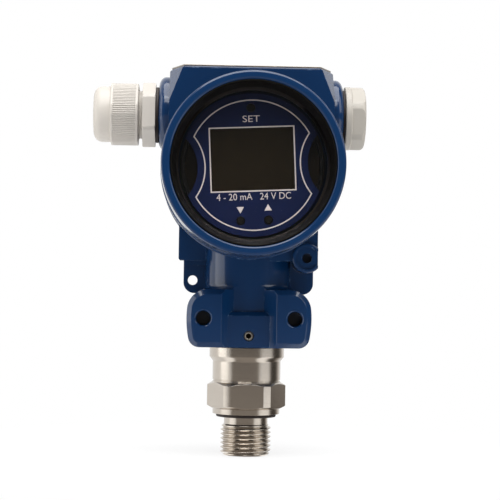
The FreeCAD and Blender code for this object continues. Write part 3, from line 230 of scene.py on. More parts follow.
def makeMaterial(look):
    # one finish: a colour with a second shade, grain, marks, softened edges tinted by wear (a painted highlight on
    # the blue paint), and dust
    material = bpy.data.materials.new(look["name"])
    material.use_nodes = True
    tree = material.node_tree
    shader = tree.nodes["Principled BSDF"]
    for label in ("Coat Weight", "Coat Roughness", "Specular IOR Level"):
        if label in look:
            shader.inputs[label].default_value = look[label]
    where = tree.nodes.new("ShaderNodeTexCoord").outputs["Object"]
    grain = placeGroup(tree, surfaceGrain, where, Scale=look.get("grain", 900.0), Marks=look.get("marks", 60.0))
    edges = placeGroup(tree, edgeWearAndHighlight, where, Radius=look.get("edge", 0.3) * mm, Patches=look.get("patches", 300.0))
    if "core" in look:
        # the shadowed inside of a socket
        fromAxis = addNode(tree, "VectorMath", operation="SUBTRACT")
        tree.links.new(where, fromAxis.inputs[0])
        fromAxis.inputs[1].default_value = look["core"][0]
        across = addNode(tree, "VectorMath", operation="MULTIPLY")
        tree.links.new(fromAxis.outputs[0], across.inputs[0])
        across.inputs[1].default_value = (1, 0, 1)
        reach = addNode(tree, "VectorMath", operation="LENGTH")
        tree.links.new(across.outputs[0], reach.inputs[0])
        inCore = mathNode(tree, "LESS_THAN", reach.outputs["Value"], look["core"][1] * mm)
    dust = placeGroup(tree, settledDust, where, Amount=look.get("dust", 0.15))
    height = grain.outputs["Height"]
    shade = grain.outputs["Mottle"]
    if "turnedAbout" in look:
        turn = tree.nodes.new("ShaderNodeMapping")
        turn.vector_type = "TEXTURE"
        turn.inputs["Location"].default_value = look["turnedAbout"][0]
        turn.inputs["Rotation"].default_value = look["turnedAbout"][1]
        tree.links.new(where, turn.inputs["Vector"])
        marks = placeGroup(tree, turningMarks, turn.outputs[0], Fineness=look.get("fineness", 4000.0))
        height = marks.outputs["Height"]
        shade = mathNode(tree, "ADD", mathNode(tree, "MULTIPLY", shade, 0.5),
                         mathNode(tree, "MULTIPLY", marks.outputs["Streak"], 0.5))
    colour = blendColours(tree, shade, look["colour"], look["second"])
    # edges blend to their wear colour; on the blue paint this lighter blue is a painted highlight along the edges
    colour = blendColours(tree, mathNode(tree, "MULTIPLY", edges.outputs["WearAndHighlight"], look.get("wearAndHighlight", 0.3)),
                          colour, look.get("under", look["second"]))
    colour = blendColours(tree, dust.outputs["Dust"], colour, dustColour)
    if "core" in look:
        colour = blendColours(tree, inCore, colour, socketShade)
    tree.links.new(colour, shader.inputs["Base Color"])
    rough = rangeOf(tree, shade, look["rough"][0], look["rough"][1])
    rough = mathNode(tree, "ADD", rough, mathNode(tree, "MULTIPLY", dust.outputs["Dust"], 0.5), clamp=True)
    tree.links.new(rough, shader.inputs["Roughness"])
    if "metal" in look:
        metal = mathNode(tree, "SUBTRACT", look["metal"], dust.outputs["Dust"], clamp=True)
        tree.links.new(metal, shader.inputs["Metallic"])
    bump = tree.nodes.new("ShaderNodeBump")
    bump.inputs["Strength"].default_value = look.get("bump", 0.2)
    bump.inputs["Distance"].default_value = look.get("depth", 0.03) * mm
    tree.links.new(height, bump.inputs["Height"])
    tree.links.new(edges.outputs["Normal"], bump.inputs["Normal"])
    tree.links.new(bump.outputs[0], shader.inputs["Normal"])
    return material


# where the lathe's axis lies and how it is turned
sensorAxis = (Vector((0, 0, 0)), (0, 0, 0))

# blue paint: the lighter blue its edges blend to is a painted highlight along the edges, in patches
bluePaint = makeMaterial({"name": "bluePaint", "colour": (0.0010, 0.0225, 0.080), "second": (0.0008, 0.0198, 0.071),
                          "rough": (0.42, 0.55), "Specular IOR Level": 0.06, "Coat Weight": 1.0,
                          "Coat Roughness": 0.14, "grain": 650.0, "bump": 0.10, "depth": 0.03, "edge": 0.5,
                          "wearAndHighlight": 0.7, "under": (0.15, 0.25, 0.40), "dust": 0.006})
stainless = makeMaterial({"name": "stainless", "colour": (0.50, 0.45, 0.39), "second": (0.60, 0.55, 0.49),
                          "rough": (0.15, 0.26), "metal": 1.0, "turnedAbout": sensorAxis, "bump": 0.32,
                          "depth": 0.02, "edge": 0.2, "wearAndHighlight": 0.5, "under": (0.75, 0.72, 0.67), "dust": 0.02})
rubber = makeMaterial({"name": "rubber", "colour": (0.016, 0.010, 0.008), "second": (0.026, 0.016, 0.013),
                       "rough": (0.55, 0.75), "grain": 2500.0, "bump": 0.4, "depth": 0.02, "dust": 0.1})
blackMoulding = makeMaterial({"name": "blackMoulding", "colour": (0.0026, 0.0021, 0.0017),
                              "second": (0.0042, 0.0034, 0.0027), "rough": (0.42, 0.55),
                              "Specular IOR Level": 0.1, "grain": 1500.0, "bump": 0.05, "depth": 0.01,
                              "dust": 0.01})
darkPanel = makeMaterial({"name": "darkPanel", "colour": (0.0125, 0.0088, 0.0045), "second": (0.0155, 0.0110, 0.0058),
                          "rough": (0.14, 0.22), "Specular IOR Level": 0.2, "grain": 400.0, "marks": 45.0,
                          "bump": 0.03, "depth": 0.01, "dust": 0.0})
navyFilm = makeMaterial({"name": "navyFilm", "colour": (0.0040, 0.0088, 0.042), "second": (0.0050, 0.0108, 0.049),
                         "rough": (0.35, 0.5), "Specular IOR Level": 0.1, "grain": 2200.0, "bump": 0.08,
                         "depth": 0.01, "dust": 0.0})
printInk = makeMaterial({"name": "printInk", "colour": (0.80, 0.70, 0.66), "second": (0.74, 0.64, 0.60),
                         "rough": (0.4, 0.55), "grain": 3000.0, "bump": 0.08, "depth": 0.005, "dust": 0.0})
greyNylon = makeMaterial({"name": "greyNylon", "colour": (0.53, 0.495, 0.45), "second": (0.48, 0.445, 0.40),
                          "rough": (0.36, 0.5), "grain": 1200.0, "bump": 0.12, "depth": 0.03, "edge": 0.4,
                          "wearAndHighlight": 0.25, "under": (0.42, 0.39, 0.35), "dust": 0.05})
# the same grey nylon as the gland, made darker for the blanking plug on the dimmer right side: painted shade
paintedShadeNylon = makeMaterial({"name": "paintedShadeNylon", "colour": (0.41, 0.38, 0.335), "second": (0.37, 0.345, 0.305),
                          "rough": (0.36, 0.5), "grain": 1200.0, "bump": 0.12, "depth": 0.03, "edge": 0.4,
                          "wearAndHighlight": 0.25, "under": (0.50, 0.47, 0.42), "dust": 0.03})
circuitBoard = makeMaterial({"name": "circuitBoard", "colour": (0.010, 0.075, 0.030), "second": (0.008, 0.055, 0.022),
                             "rough": (0.3, 0.45), "grain": 500.0, "bump": 0.2, "depth": 0.03})
platedBrass = makeMaterial({"name": "platedBrass", "colour": (0.60, 0.56, 0.48), "second": (0.66, 0.62, 0.55),
                            "rough": (0.25, 0.4), "metal": 1.0, "bump": 0.2, "depth": 0.02})
goldPins = makeMaterial({"name": "goldPins", "colour": (0.80, 0.56, 0.20), "second": (0.85, 0.62, 0.26),
                         "rough": (0.2, 0.32), "metal": 1.0, "bump": 0.1, "depth": 0.01})
platedSteel = makeMaterial({"name": "platedSteel", "colour": (0.55, 0.54, 0.52), "second": (0.62, 0.61, 0.58),
                            "rough": (0.24, 0.38), "metal": 1.0, "bump": 0.2, "depth": 0.02, "wearAndHighlight": 0.4,
                            "under": (0.7, 0.68, 0.64)})
screwSteel = makeMaterial({"name": "screwSteel", "colour": (0.72, 0.66, 0.56), "second": (0.78, 0.72, 0.63),
                           "rough": (0.44, 0.56), "metal": 0.9, "bump": 0.2, "depth": 0.02,
                           "core": ((0, 0, 49.8 * mm), 1.05)})
plateMetal = makeMaterial({"name": "plateMetal", "colour": (0.30, 0.26, 0.22), "second": (0.38, 0.33, 0.28),
                           "rough": (0.30, 0.44), "metal": 1.0, "bump": 0.25, "depth": 0.02, "dust": 0.08})


def makeGlass():
    # clear pane with faint smears, open to shadow rays so the display under it is lit
    material = bpy.data.materials.new("windowPane")
    material.use_nodes = True
    tree = material.node_tree
    shader = tree.nodes["Principled BSDF"]
    shader.inputs["Base Color"].default_value = (0.97, 0.98, 0.98, 1)
    shader.inputs["Transmission Weight"].default_value = 1.0
    shader.inputs["IOR"].default_value = 1.45
    where = tree.nodes.new("ShaderNodeTexCoord").outputs["Object"]
    smear = noiseOn(tree, where, 90.0, 5.0, 0.7)
    tree.links.new(rangeOf(tree, smear, 0.0, 0.012), shader.inputs["Roughness"])
    bump = tree.nodes.new("ShaderNodeBump")
    bump.inputs["Strength"].default_value = 0.004
    bump.inputs["Distance"].default_value = 0.01 * mm
    tree.links.new(smear, bump.inputs["Height"])
    tree.links.new(bump.outputs[0], shader.inputs["Normal"])
    clear = tree.nodes.new("ShaderNodeBsdfTransparent")
    mix = tree.nodes.new("ShaderNodeMixShader")
    path = tree.nodes.new("ShaderNodeLightPath")
    tree.links.new(path.outputs["Is Shadow Ray"], mix.inputs[0])
    tree.links.new(shader.outputs[0], mix.inputs[1])
    tree.links.new(clear.outputs[0], mix.inputs[2])
    tree.links.new(mix.outputs[0], tree.nodes["Material Output"].inputs["Surface"])
    return material


windowPane = makeGlass()

finishes = {
    "blue_paint": bluePaint, "stainless": stainless, "black_rubber": rubber, "window_glass": windowPane,
    "black_moulding": blackMoulding, "navy_film": navyFilm, "dark_panel": darkPanel,
    "circuit_board": circuitBoard, "plated_brass": platedBrass, "gold_pins": goldPins,
    "plated_steel": platedSteel, "grey_nylon": greyNylon, "name_plate": plateMetal,
}
slotOf = {part["node"]: part["material_slot"] for part in frame["record"]["subparts"]}
print("materials ready:", len(finishes))


def lathe(profile, steps=120, closed=True):
    # (radius, height) corners turned about Z; a third value rounds that corner
    bm = bmesh.new()
    line = [bm.verts.new((corner[0] * mm, 0, corner[1] * mm)) for corner in profile]
    for i in range(len(line) - (0 if closed else 1)):
        bm.edges.new((line[i], line[(i + 1) % len(line)]))
    for vert, corner in zip(line, profile):
        if len(corner) > 2:
            bmesh.ops.bevel(bm, geom=[vert], offset=corner[2] * mm, offset_type="OFFSET",
                            segments=4 + int(2 * corner[2]), profile=0.5, affect="VERTICES", material=-1)
    bmesh.ops.spin(bm, geom=bm.verts[:] + bm.edges[:], cent=(0, 0, 0), axis=(0, 0, 1),
                   angle=2 * math.pi, steps=steps, use_merge=True)
    bmesh.ops.remove_doubles(bm, verts=bm.verts, dist=latheMerge)
    bmesh.ops.recalc_face_normals(bm, faces=bm.faces)
    return bm


def join(bm, other):
    # puts another bmesh into the first and lets it go
    spare = bpy.data.meshes.new("spare")
    other.to_mesh(spare)
    other.free()
    bm.from_mesh(spare)
    bpy.data.meshes.remove(spare)


def millFlats(bm, acrossFlats, turn=0.0, count=6):
    # cuts flats on a turned blank, as a milling machine does
    for i in range(count):
        angle = math.radians(turn) + 2 * math.pi * i / count
        away = Vector((math.cos(angle), math.sin(angle), 0))
        cut = bmesh.ops.bisect_plane(bm, geom=bm.verts[:] + bm.edges[:] + bm.faces[:], dist=planeTolerance,
                                     plane_co=away * acrossFlats / 2 * mm, plane_no=away, clear_outer=True)
        rim = [e for e in cut["geom_cut"] if isinstance(e, bmesh.types.BMEdge)]
        bmesh.ops.edgeloop_fill(bm, edges=rim)
    bmesh.ops.recalc_face_normals(bm, faces=bm.faces)


def breakEdges(bm, width, above=35, segments=2):
    # small real bevels along the sharp edges
    sharp = [e for e in bm.edges if len(e.link_faces) == 2 and e.calc_face_angle() > math.radians(above)]
    bmesh.ops.bevel(bm, geom=sharp, offset=width * mm, offset_type="OFFSET", segments=segments, profile=0.5,
                    affect="EDGES", material=-1, clamp_overlap=True)


def cadCopy(node):
    # the node's own mesh, merged, with its flat faces made whole
    bm = bmesh.new()
    bm.from_mesh(cadNodes[node].data)
    bmesh.ops.remove_doubles(bm, verts=bm.verts, dist=meshMerge)
    bmesh.ops.dissolve_limit(bm, angle_limit=math.radians(0.2), verts=bm.verts, edges=bm.edges)
    return bm


def put(bm, way="up", at=Vector((0, 0, 0)), tilt=0.0):
    bmesh.ops.transform(bm, matrix=Matrix.Translation(at) @ lies[way] @ Matrix.Rotation(math.radians(tilt), 4, "Z"),
                        verts=bm.verts)


def finishPiece(bm, name, body, node, material=None, standsFor=None, crease=32):
    for edge in bm.edges:
        edge.smooth = len(edge.link_faces) == 2 and edge.calc_face_angle() < math.radians(crease)
    for face in bm.faces:
        face.smooth = True
    mesh = bpy.data.meshes.new(name)
    bm.to_mesh(mesh)
    bm.free()
    piece = bpy.data.objects.new(name, mesh)
    bpy.context.scene.collection.objects.link(piece)
    mesh.materials.append(material or finishes[slotOf[node]])
    evened = piece.modifiers.new("evened", "WEIGHTED_NORMAL")
    evened.keep_sharp = True
    evened.weight = 90
    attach(piece, body)
    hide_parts(*(standsFor if standsFor is not None else [node]))
    return piece


sensor = {"threadRadius": 10.4775, "rootRadius": 9.32, "pitch": 1.8143, "threadTop": 13.0, "crestOver": 0.19,
          "crestRound": 0.27, "stepsPerTurn": 96, "leadInset": 0.15, "tailInset": 0.2, "relief": 9.1,
          "portRadius": 3.0, "faceHeight": 17.2, "collar": 13.95, "hexLow": 19.3, "hexTop": 30.4,
          "acrossFlats": 30.0, "turned": 16.35, "hexFace": 2.2, "hexBevel": 1.3, "neck": 14.15,
          "grooveDepth": 0.3, "neckTop": 39.0, "shoulder": 15.55, "shoulderLow": 40.8, "top": 44.9,
          "spigot": 13.2, "spigotTop": 60.2, "sealLow": 6.2, "sealHigh": 3.0, "sealDepth": 1.7, "bore": 9.6}


def threadedSpigot(s):
    bm = bmesh.new()
    middle = (s["threadRadius"] + s["rootRadius"]) / 2
    turns = math.ceil(s["threadTop"] / s["pitch"]) + 2
    profile = [(middle, 0), (s["threadRadius"] + s["crestOver"], 0.25), (middle, 0.5),
               (s["rootRadius"] - s["crestOver"], 0.75), (middle, 1)]
    line = [bm.verts.new((r * mm, 0, (step - 1) * s["pitch"] * mm)) for r, step in profile]
    for a, b in zip(line, line[1:]):
        bm.edges.new((a, b))
    for vert in (line[1], line[3]):
        bmesh.ops.bevel(bm, geom=[vert], offset=s["crestRound"] * mm, offset_type="OFFSET", segments=3,
                        profile=0.5, affect="VERTICES", material=-1)
    bmesh.ops.spin(bm, geom=bm.verts[:] + bm.edges[:], cent=(0, 0, 0), axis=(0, 0, 1),
                   dvec=(0, 0, s["pitch"] / s["stepsPerTurn"] * mm), angle=2 * math.pi * turns,
                   steps=s["stepsPerTurn"] * turns)
    bmesh.ops.remove_doubles(bm, verts=bm.verts, dist=meshMerge)
    for height, keep in ((0.0, 1), (s["threadTop"], -1)):
        bmesh.ops.bisect_plane(bm, geom=bm.verts[:] + bm.edges[:] + bm.faces[:], dist=planeTolerance,
                               plane_co=(0, 0, height * mm), plane_no=(0, 0, -keep), clear_outer=True)
    bmesh.ops.recalc_face_normals(bm, faces=bm.faces)
    # the lead-in cone at the free end and the run-out into the relief
    for vert in bm.verts:
        radius = math.hypot(vert.co.x, vert.co.y)
        lead = (s["rootRadius"] - s["leadInset"]) * mm + max(vert.co.z, 0)
        tail = (s["rootRadius"] - s["tailInset"]) * mm + max(s["threadTop"] * mm - vert.co.z, 0)
        limit = min(lead, tail)
        if radius > limit:
            vert.co.x *= limit / radius
            vert.co.y *= limit / radius
    return bm


def makeSensorBody(s):
    bm = threadedSpigot(s)
    inner = s["rootRadius"] - 0.6
    join(bm, lathe([(s["portRadius"], 0, 0.3), (s["rootRadius"] - s["leadInset"], 0), (inner, 0.6),
                    (s["portRadius"], 0.6)]))
    join(bm, lathe([
        (s["portRadius"], 0.5), (inner, 0.5), (inner, s["threadTop"] - 0.3),
        (s["rootRadius"] - s["tailInset"], s["threadTop"]), (s["relief"], s["threadTop"] + 1.0),
        (s["relief"], s["faceHeight"]), (s["collar"], s["faceHeight"], 0.15),
        (s["collar"], s["hexLow"] + 0.5), (s["portRadius"], s["hexLow"] + 0.5)]))
    hexagon = lathe([
        (s["neck"] - 2, s["hexLow"]), (s["turned"] - s["hexFace"], s["hexLow"], 0.3),
        (s["turned"], s["hexLow"] + s["hexBevel"]), (s["turned"], s["hexTop"] - s["hexBevel"]),
        (s["turned"] - s["hexFace"], s["hexTop"], 0.3), (s["neck"] - 2, s["hexTop"])], 180)
    millFlats(hexagon, s["acrossFlats"], 30.0)
    breakEdges(hexagon, 0.12)
    join(bm, hexagon)
    join(bm, lathe([
        (s["neck"] - 2.5, s["hexTop"] - 1), (s["neck"], s["hexTop"] - 1), (s["neck"], s["hexTop"] + 0.35),
        (s["neck"] - s["grooveDepth"], s["hexTop"] + 0.45), (s["neck"] - s["grooveDepth"], s["hexTop"] + 0.85),
        (s["neck"], s["hexTop"] + 0.95),
        (s["neck"], s["neckTop"], 0.15), (s["shoulder"], s["shoulderLow"], 0.2), (s["shoulder"], s["top"], 0.3),
        (s["spigot"], s["top"]), (s["spigot"], s["spigotTop"] - s["sealLow"]),
        (s["spigot"] - s["sealDepth"], s["spigotTop"] - s["sealLow"]),
        (s["spigot"] - s["sealDepth"], s["spigotTop"] - s["sealHigh"]),
        (s["spigot"], s["spigotTop"] - s["sealHigh"]), (s["spigot"], s["spigotTop"], 0.4),
        (s["bore"], s["spigotTop"], 0.3), (s["bore"], s["hexTop"] - 1)]))
    return finishPiece(bm, "processFitting", "sensor", "sensor_body")


makeSensorBody(sensor)

sealRing = {"inner": 9.25, "innerRound": 0.3, "outerRound": 0.45}


def makeProcessSeal(r):
    low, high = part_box("process_seal")
    outer = (high.x - low.x) / 2 / mm
    bottom, top = low.z / mm, high.z / mm
    bm = lathe([(r["inner"], bottom, r["innerRound"]), (outer, bottom, r["outerRound"]),
                (outer, top, r["outerRound"]), (r["inner"], top, r["innerRound"])])
    return finishPiece(bm, "processSealRing", "sensor", "process_seal")


makeProcessSeal(sealRing)
print("sensor body ready")


shoulder = {"top": 158.8, "flatHalf": 28.5, "half": 33.8, "drop": 1.5, "low": 150.0, "landHeight": 0.8,
            "landHalf": 33.0, "landDepth": 17.2, "landOver": 0.9, "landSink": 0.3, "plateThickness": 0.65,
            "cornerLength": 5.0, "cornerDepth": 11.5}


def levelShoulder(bm, s):
    # the ends of the flat top stay level out to the side walls
    for vert in bm.verts:
        past = abs(vert.co.x) / mm - s["flatHalf"]
        if past > 0 and vert.co.z > s["low"] * mm:
            share = (vert.co.z / mm - s["low"]) / (s["top"] - s["drop"] - s["low"])
            vert.co.z += s["drop"] * mm * min(past / (s["half"] - s["flatHalf"]), 1) * min(share, 1)
            vert.co.z = min(vert.co.z, s["top"] * mm)


def cornerCutSlab(halfLength, halfDepth, low, high, cornerLength, cornerDepth):
    # flat slab whose four corners are cut off at a slant
    bm = bmesh.new()
    bmesh.ops.create_cube(bm, size=2 * mm)
    bmesh.ops.scale(bm, vec=(halfLength, halfDepth, (high - low) / 2), verts=bm.verts)
    bmesh.ops.translate(bm, vec=(0, 0, (high + low) / 2 * mm), verts=bm.verts)
    for sideX in (-1, 1):
        for sideY in (-1, 1):
            away = Vector((sideX * cornerDepth, sideY * cornerLength, 0)).normalized()
            at = Vector((sideX * (halfLength - cornerLength), sideY * halfDepth, 0)) * mm
            cut = bmesh.ops.bisect_plane(bm, geom=bm.verts[:] + bm.edges[:] + bm.faces[:], dist=planeTolerance,
                                         plane_co=at, plane_no=away, clear_outer=True)
            rim = [e for e in cut["geom_cut"] if isinstance(e, bmesh.types.BMEdge)]
            bmesh.ops.edgeloop_fill(bm, edges=rim)
    bmesh.ops.recalc_face_normals(bm, faces=bm.faces)
    return bm


def makeHousing(s):
    bm = cadCopy("housing")
    breakEdges(bm, 0.35, mouldedAngle)
    levelShoulder(bm, s)
    land = cornerCutSlab(s["landHalf"], s["landDepth"] + s["landOver"], s["top"] - s["landSink"],
                         s["top"] + s["landHeight"], s["cornerLength"], s["cornerDepth"])
    breakEdges(land, 0.5, mouldedAngle, 3)
    join(bm, land)
    return finishPiece(bm, "castHousing", "housing", "housing", crease=35)


def makeNameplate(s):
    low = s["top"] + s["landHeight"]
    bm = cornerCutSlab(s["landHalf"], s["landDepth"], low, low + s["plateThickness"], s["cornerLength"],
                       s["cornerDepth"])
    breakEdges(bm, 0.1, mouldedAngle)
    return finishPiece(bm, "nameplate", "housing", "nameplate")


makeHousing(shoulder)
print("housing ready")


cover = {"radius": 36.4, "start": 22.8, "taperStart": 43.0, "faceRadius": 36.0, "lip": 50.0, "opening": 32.5,
         "seat": 37.0, "flange": 29.5, "flangeBack": 34.0, "spigotBore": 31.0, "spigotEnd": 14.3,
         "spigotLead": 0.8, "thread": 33.9, "threadStart": 0.9, "threadDepth": 0.75, "threadPitch": 1.5,
         "groove": 32.2, "sealWidth": 2.4}
rearCover = {"end": 45.0, "floor": 5.5, "bevelLength": 8, "bevelInset": 2.9, "rim": 31.0, "dish": 30.0,
             "dishDepth": 2}
bezel = {"back": 43.0, "front": 49.6, "play": 0.02, "frontWall": 0.75, "backWall": 2.4}
pane = {"radius": 32.3, "back": 37.5, "front": 43.0, "edge": 0.3}


def coverThread(c):
    # the turned thread of a cover's spigot, from its free end to the seal groove
    ridges = []
    height = c["spigotEnd"] + c["threadStart"]
    while height + c["threadPitch"] < c["start"] - c["sealWidth"]:
        ridges += [(c["thread"], height), (c["thread"] - c["threadDepth"], height + c["threadPitch"] / 2)]
        height += c["threadPitch"]
    return ridges + [(c["thread"], c["start"] - c["sealWidth"]), (c["groove"], c["start"] - c["sealWidth"]),
                     (c["groove"], c["start"])]


def toFront(bm):
    # heights counted from the barrel's middle towards the display side
    turn = Matrix.Translation(places["barrelAxis"]) @ Matrix.Rotation(math.radians(90), 4, "X")
    bmesh.ops.transform(bm, matrix=turn, verts=bm.verts)


def makeFrontCover(c):
    profile = [
        (c["spigotBore"], c["flangeBack"], 1.0), (c["spigotBore"], c["spigotEnd"]),
        (c["thread"] - c["spigotLead"], c["spigotEnd"])]
    profile += coverThread(c)
    profile += [
        (c["radius"], c["start"], 0.5), (c["radius"], c["taperStart"], 0.5), (c["faceRadius"], c["lip"], 1.0),
        (c["opening"], c["lip"], 1.1), (c["opening"], c["seat"]), (c["flange"], c["seat"]),
        (c["flange"], c["flangeBack"])]
    bm = lathe(profile, 180)
    toFront(bm)
    return finishPiece(bm, "frontCover", "front_cover", "front_cover")


def makeRearCover(c, r):
    end = r["end"]
    profile = [(0, end - r["floor"]), (c["spigotBore"], end - r["floor"], 3.0), (c["spigotBore"], c["spigotEnd"]),
               (c["thread"] - c["spigotLead"], c["spigotEnd"])]
    profile += coverThread(c)
    profile += [(c["radius"], c["start"], 0.5), (c["radius"], end - r["bevelLength"], 2.6),
                (c["radius"] - r["bevelInset"], end, 0.9), (r["rim"], end, 0.5),
                (r["dish"], end - r["dishDepth"], 0.5), (0, end - r["dishDepth"])]
    bm = lathe(profile, 180, closed=False)
    put(bm, "back", places["barrelAxis"])
    return finishPiece(bm, "rearCover", "rear_cover", "rear_cover")


def makeBezel(b, opening):
    bm = lathe([(opening - b["play"], b["back"]), (opening - b["play"], b["front"], 0.2),
                (opening - b["frontWall"], b["front"], 0.3), (opening - b["backWall"], b["back"], 0.3)], 180)
    toFront(bm)
    return finishPiece(bm, "windowBezel", "front_cover", "window_bezel")


def makePane(p):
    bm = lathe([(0, p["back"]), (p["radius"], p["back"], p["edge"]), (p["radius"], p["front"], p["edge"]),
                (0, p["front"])], 160, closed=False)
    toFront(bm)
    return finishPiece(bm, "windowPane", "front_cover", "window_glass")


makeFrontCover(cover)
makeRearCover(cover, rearCover)
makeBezel(bezel, cover["opening"])
makePane(pane)
print("covers ready")

display = {"face": 35.5, "turn": 2.8, "lineWidth": 0.5, "ring": 26.05, "notchAt": 38.8, "notch": 19.7,
           "ringSteps": 48, "notchSteps": 24, "lcdWidth": 33.0, "lcdHeight": 24.8, "lcdRise": 2.4, "ink": 0.06,
           "arrow": 1.72, "arrowAside": 5.5, "arrowRise": -17.3}
prints = [
    {"text": "SET", "width": 6.9, "height": 2.6, "at": (0, 18.4)},
    {"text": "4 - 20 mA   24 V DC", "width": 29.5, "height": 2.7, "at": (0, -12.4)},
]


def toDisplay(bm, depth=0.0):
    # from the XY plane to the face of the display, turned as the module sits
    turn = Matrix.Rotation(math.radians(90), 4, "X") @ Matrix.Rotation(math.radians(display["turn"]), 4, "Z")
    at = places["barrelAxis"] + Vector((0, -(display["face"] + depth) * mm, 0))
    bmesh.ops.transform(bm, matrix=Matrix.Translation(at) @ turn, verts=bm.verts)


def arcPoints(middle, radius, start, stop, count):
    return [(middle[0] + radius * math.cos(math.radians(start + (stop - start) * i / count)),
             middle[1] + radius * math.sin(math.radians(start + (stop - start) * i / count)))
            for i in range(count)]


def ribbon(points, width, thickness):
    # a line of even width along the inside of a closed outline
    bm = bmesh.new()
    face = bm.faces.new([bm.verts.new((x * mm, y * mm, 0)) for x, y in points])
    face.normal_update()
    ring = bmesh.ops.inset_region(bm, faces=[face], thickness=width * mm, use_even_offset=True,
                                  use_boundary=True)
    bmesh.ops.delete(bm, geom=[face], context="FACES_ONLY")
    lift = bmesh.ops.extrude_face_region(bm, geom=ring["faces"])
    moved = [v for v in lift["geom"] if isinstance(v, bmesh.types.BMVert)]
    bmesh.ops.translate(bm, vec=(0, 0, thickness * mm), verts=moved)
    bmesh.ops.recalc_face_normals(bm, faces=bm.faces)
    return bm


def lettering(entry, thickness):
    # words set in the plain built-in letters, scaled to their place
    curve = bpy.data.curves.new("letters", "FONT")
    curve.body = entry["text"]
    curve.align_x = "CENTER"
    curve.align_y = "CENTER"
    curve.extrude = 0.1
    curve.resolution_u = 4
    holder = bpy.data.objects.new("letters", curve)
    bpy.context.scene.collection.objects.link(holder)
    mesh = bpy.data.meshes.new_from_object(holder.evaluated_get(bpy.context.evaluated_depsgraph_get()))
    bm = bmesh.new()
    bm.from_mesh(mesh)
    bpy.data.objects.remove(holder)
    bpy.data.curves.remove(curve)
    bpy.data.meshes.remove(mesh)
    low = Vector([min(v.co[i] for v in bm.verts) for i in range(3)])
    high = Vector([max(v.co[i] for v in bm.verts) for i in range(3)])
    middle = (low + high) / 2
    size = high - low
    fit = Vector((entry["width"] / size.x, entry["height"] / size.y, thickness / size.z)) * mm
    for vert in bm.verts:
        place = vert.co - middle
        vert.co = Vector((place.x * fit.x + entry["at"][0] * mm, place.y * fit.y + entry["at"][1] * mm,
                          place.z * fit.z + thickness / 2 * mm))
    return bm


def makePrints(d):
    meet = (d["ring"] ** 2 + d["notchAt"] ** 2 - d["notch"] ** 2) / (2 * d["notchAt"])
    rise = math.sqrt(d["ring"] ** 2 - meet ** 2)
    gap = math.degrees(math.atan2(rise, meet))
    bite = math.degrees(math.atan2(rise, d["notchAt"] - meet))
    outline = arcPoints((0, 0), d["ring"], gap, 180 - gap, d["ringSteps"])
    outline += arcPoints((-d["notchAt"], 0), d["notch"], bite, -bite, d["notchSteps"])
    outline += arcPoints((0, 0), d["ring"], 180 + gap, 360 - gap, d["ringSteps"])
    outline += arcPoints((d["notchAt"], 0), d["notch"], 180 + bite, 180 - bite, d["notchSteps"])
    bm = ribbon(outline, d["lineWidth"], d["ink"])
    halfWidth = d["lcdWidth"] / 2 + d["lineWidth"]
    halfHeight = d["lcdHeight"] / 2 + d["lineWidth"]
    corners = [(-halfWidth, d["lcdRise"] - halfHeight), (halfWidth, d["lcdRise"] - halfHeight),
               (halfWidth, d["lcdRise"] + halfHeight), (-halfWidth, d["lcdRise"] + halfHeight)]
    join(bm, ribbon(corners, d["lineWidth"], d["ink"]))
    for side in (-1, 1):
        arrow = bmesh.new()
        bmesh.ops.create_cone(arrow, cap_ends=True, segments=3, radius1=d["arrow"] * mm, radius2=d["arrow"] * mm,
                              depth=d["ink"] * mm, matrix=Matrix.Rotation(math.radians(90 - 90 * side), 4, "Z"))
        bmesh.ops.translate(arrow, vec=(side * d["arrowAside"] * mm, d["arrowRise"] * mm, d["ink"] / 2 * mm),
                            verts=arrow.verts)
        join(bm, arrow)
    for entry in prints:
        join(bm, lettering(entry, d["ink"]))
    toDisplay(bm)
    return finishPiece(bm, "facePrint", "housing", "display_plate", printInk, standsFor=[])


makePrints(display)
print("display ready")

gland = {"start": 46.7, "gripEnd": 58.2, "end": 65.3, "turned": 13.15, "acrossFlats": 24.6, "dome": 11.6,
         "mouth": 6.4, "lip": 1.8, "thread": 9.95, "domeRound": 3.6, "ribs": 96, "ribDepth": 0.34, "turn": 3.4,
         "ribShare": 0.1, "rim": 1.0, "entry": 10.5, "entryDepth": 1.9}
glandNeck = {"radius": 9.9, "pitch": 0.85, "start": 45.0, "turns": 2, "root": 1.2, "foot": 0.3, "crest": 0.25}


def ribGrip(bm, g):
    # flattens the grip to a turned hexagon and cuts its ribs between two plain rims
    sector = math.pi / 3
    perRib = 2 * math.pi / g["ribs"]
    for vert in bm.verts:
        radius = math.hypot(vert.co.x, vert.co.y)
        if radius < (g["dome"] + 0.05) * mm:
            continue
        angle = math.atan2(vert.co.y, vert.co.x)
        fromFlat = (angle - math.radians(g["turn"]) + sector / 2) % sector - sector / 2
        share = min(1.0, g["acrossFlats"] / 2 / math.cos(fromFlat) / g["turned"])
        height = vert.co.z / mm
        if g["start"] + g["rim"] < height < g["gripEnd"] - g["rim"]:
            place = (angle / perRib) % 1
            if abs(place - 0.5) < g["ribShare"]:
                share -= g["ribDepth"] / g["turned"]
        vert.co.x *= share
        vert.co.y *= share


def makeGlandNut(g):
    s = g["start"]
    e = g["gripEnd"]
    bm = lathe([
        (g["thread"], s + g["entryDepth"] + 0.4), (g["entry"], s + g["entryDepth"]), (g["entry"], s, 0.2),
        (g["turned"], s, 0.4), (g["turned"], s + 0.95), (g["turned"], s + 1.15),
        (g["turned"], e - 1.15), (g["turned"], e - 0.95), (g["turned"], e, 0.4), (g["dome"], e + 0.05),
        (g["dome"], g["end"], g["domeRound"]), (g["mouth"], g["end"], 0.4), (g["mouth"], g["end"] - g["lip"]),
        (g["mouth"] + 1, g["end"] - g["lip"]), (g["thread"], e - 1.5)], 4 * g["ribs"])
    ribGrip(bm, g)
    put(bm, "left", places["entryAxis"])
    return finishPiece(bm, "glandNut", "gland_nut", "gland_nut", crease=28)


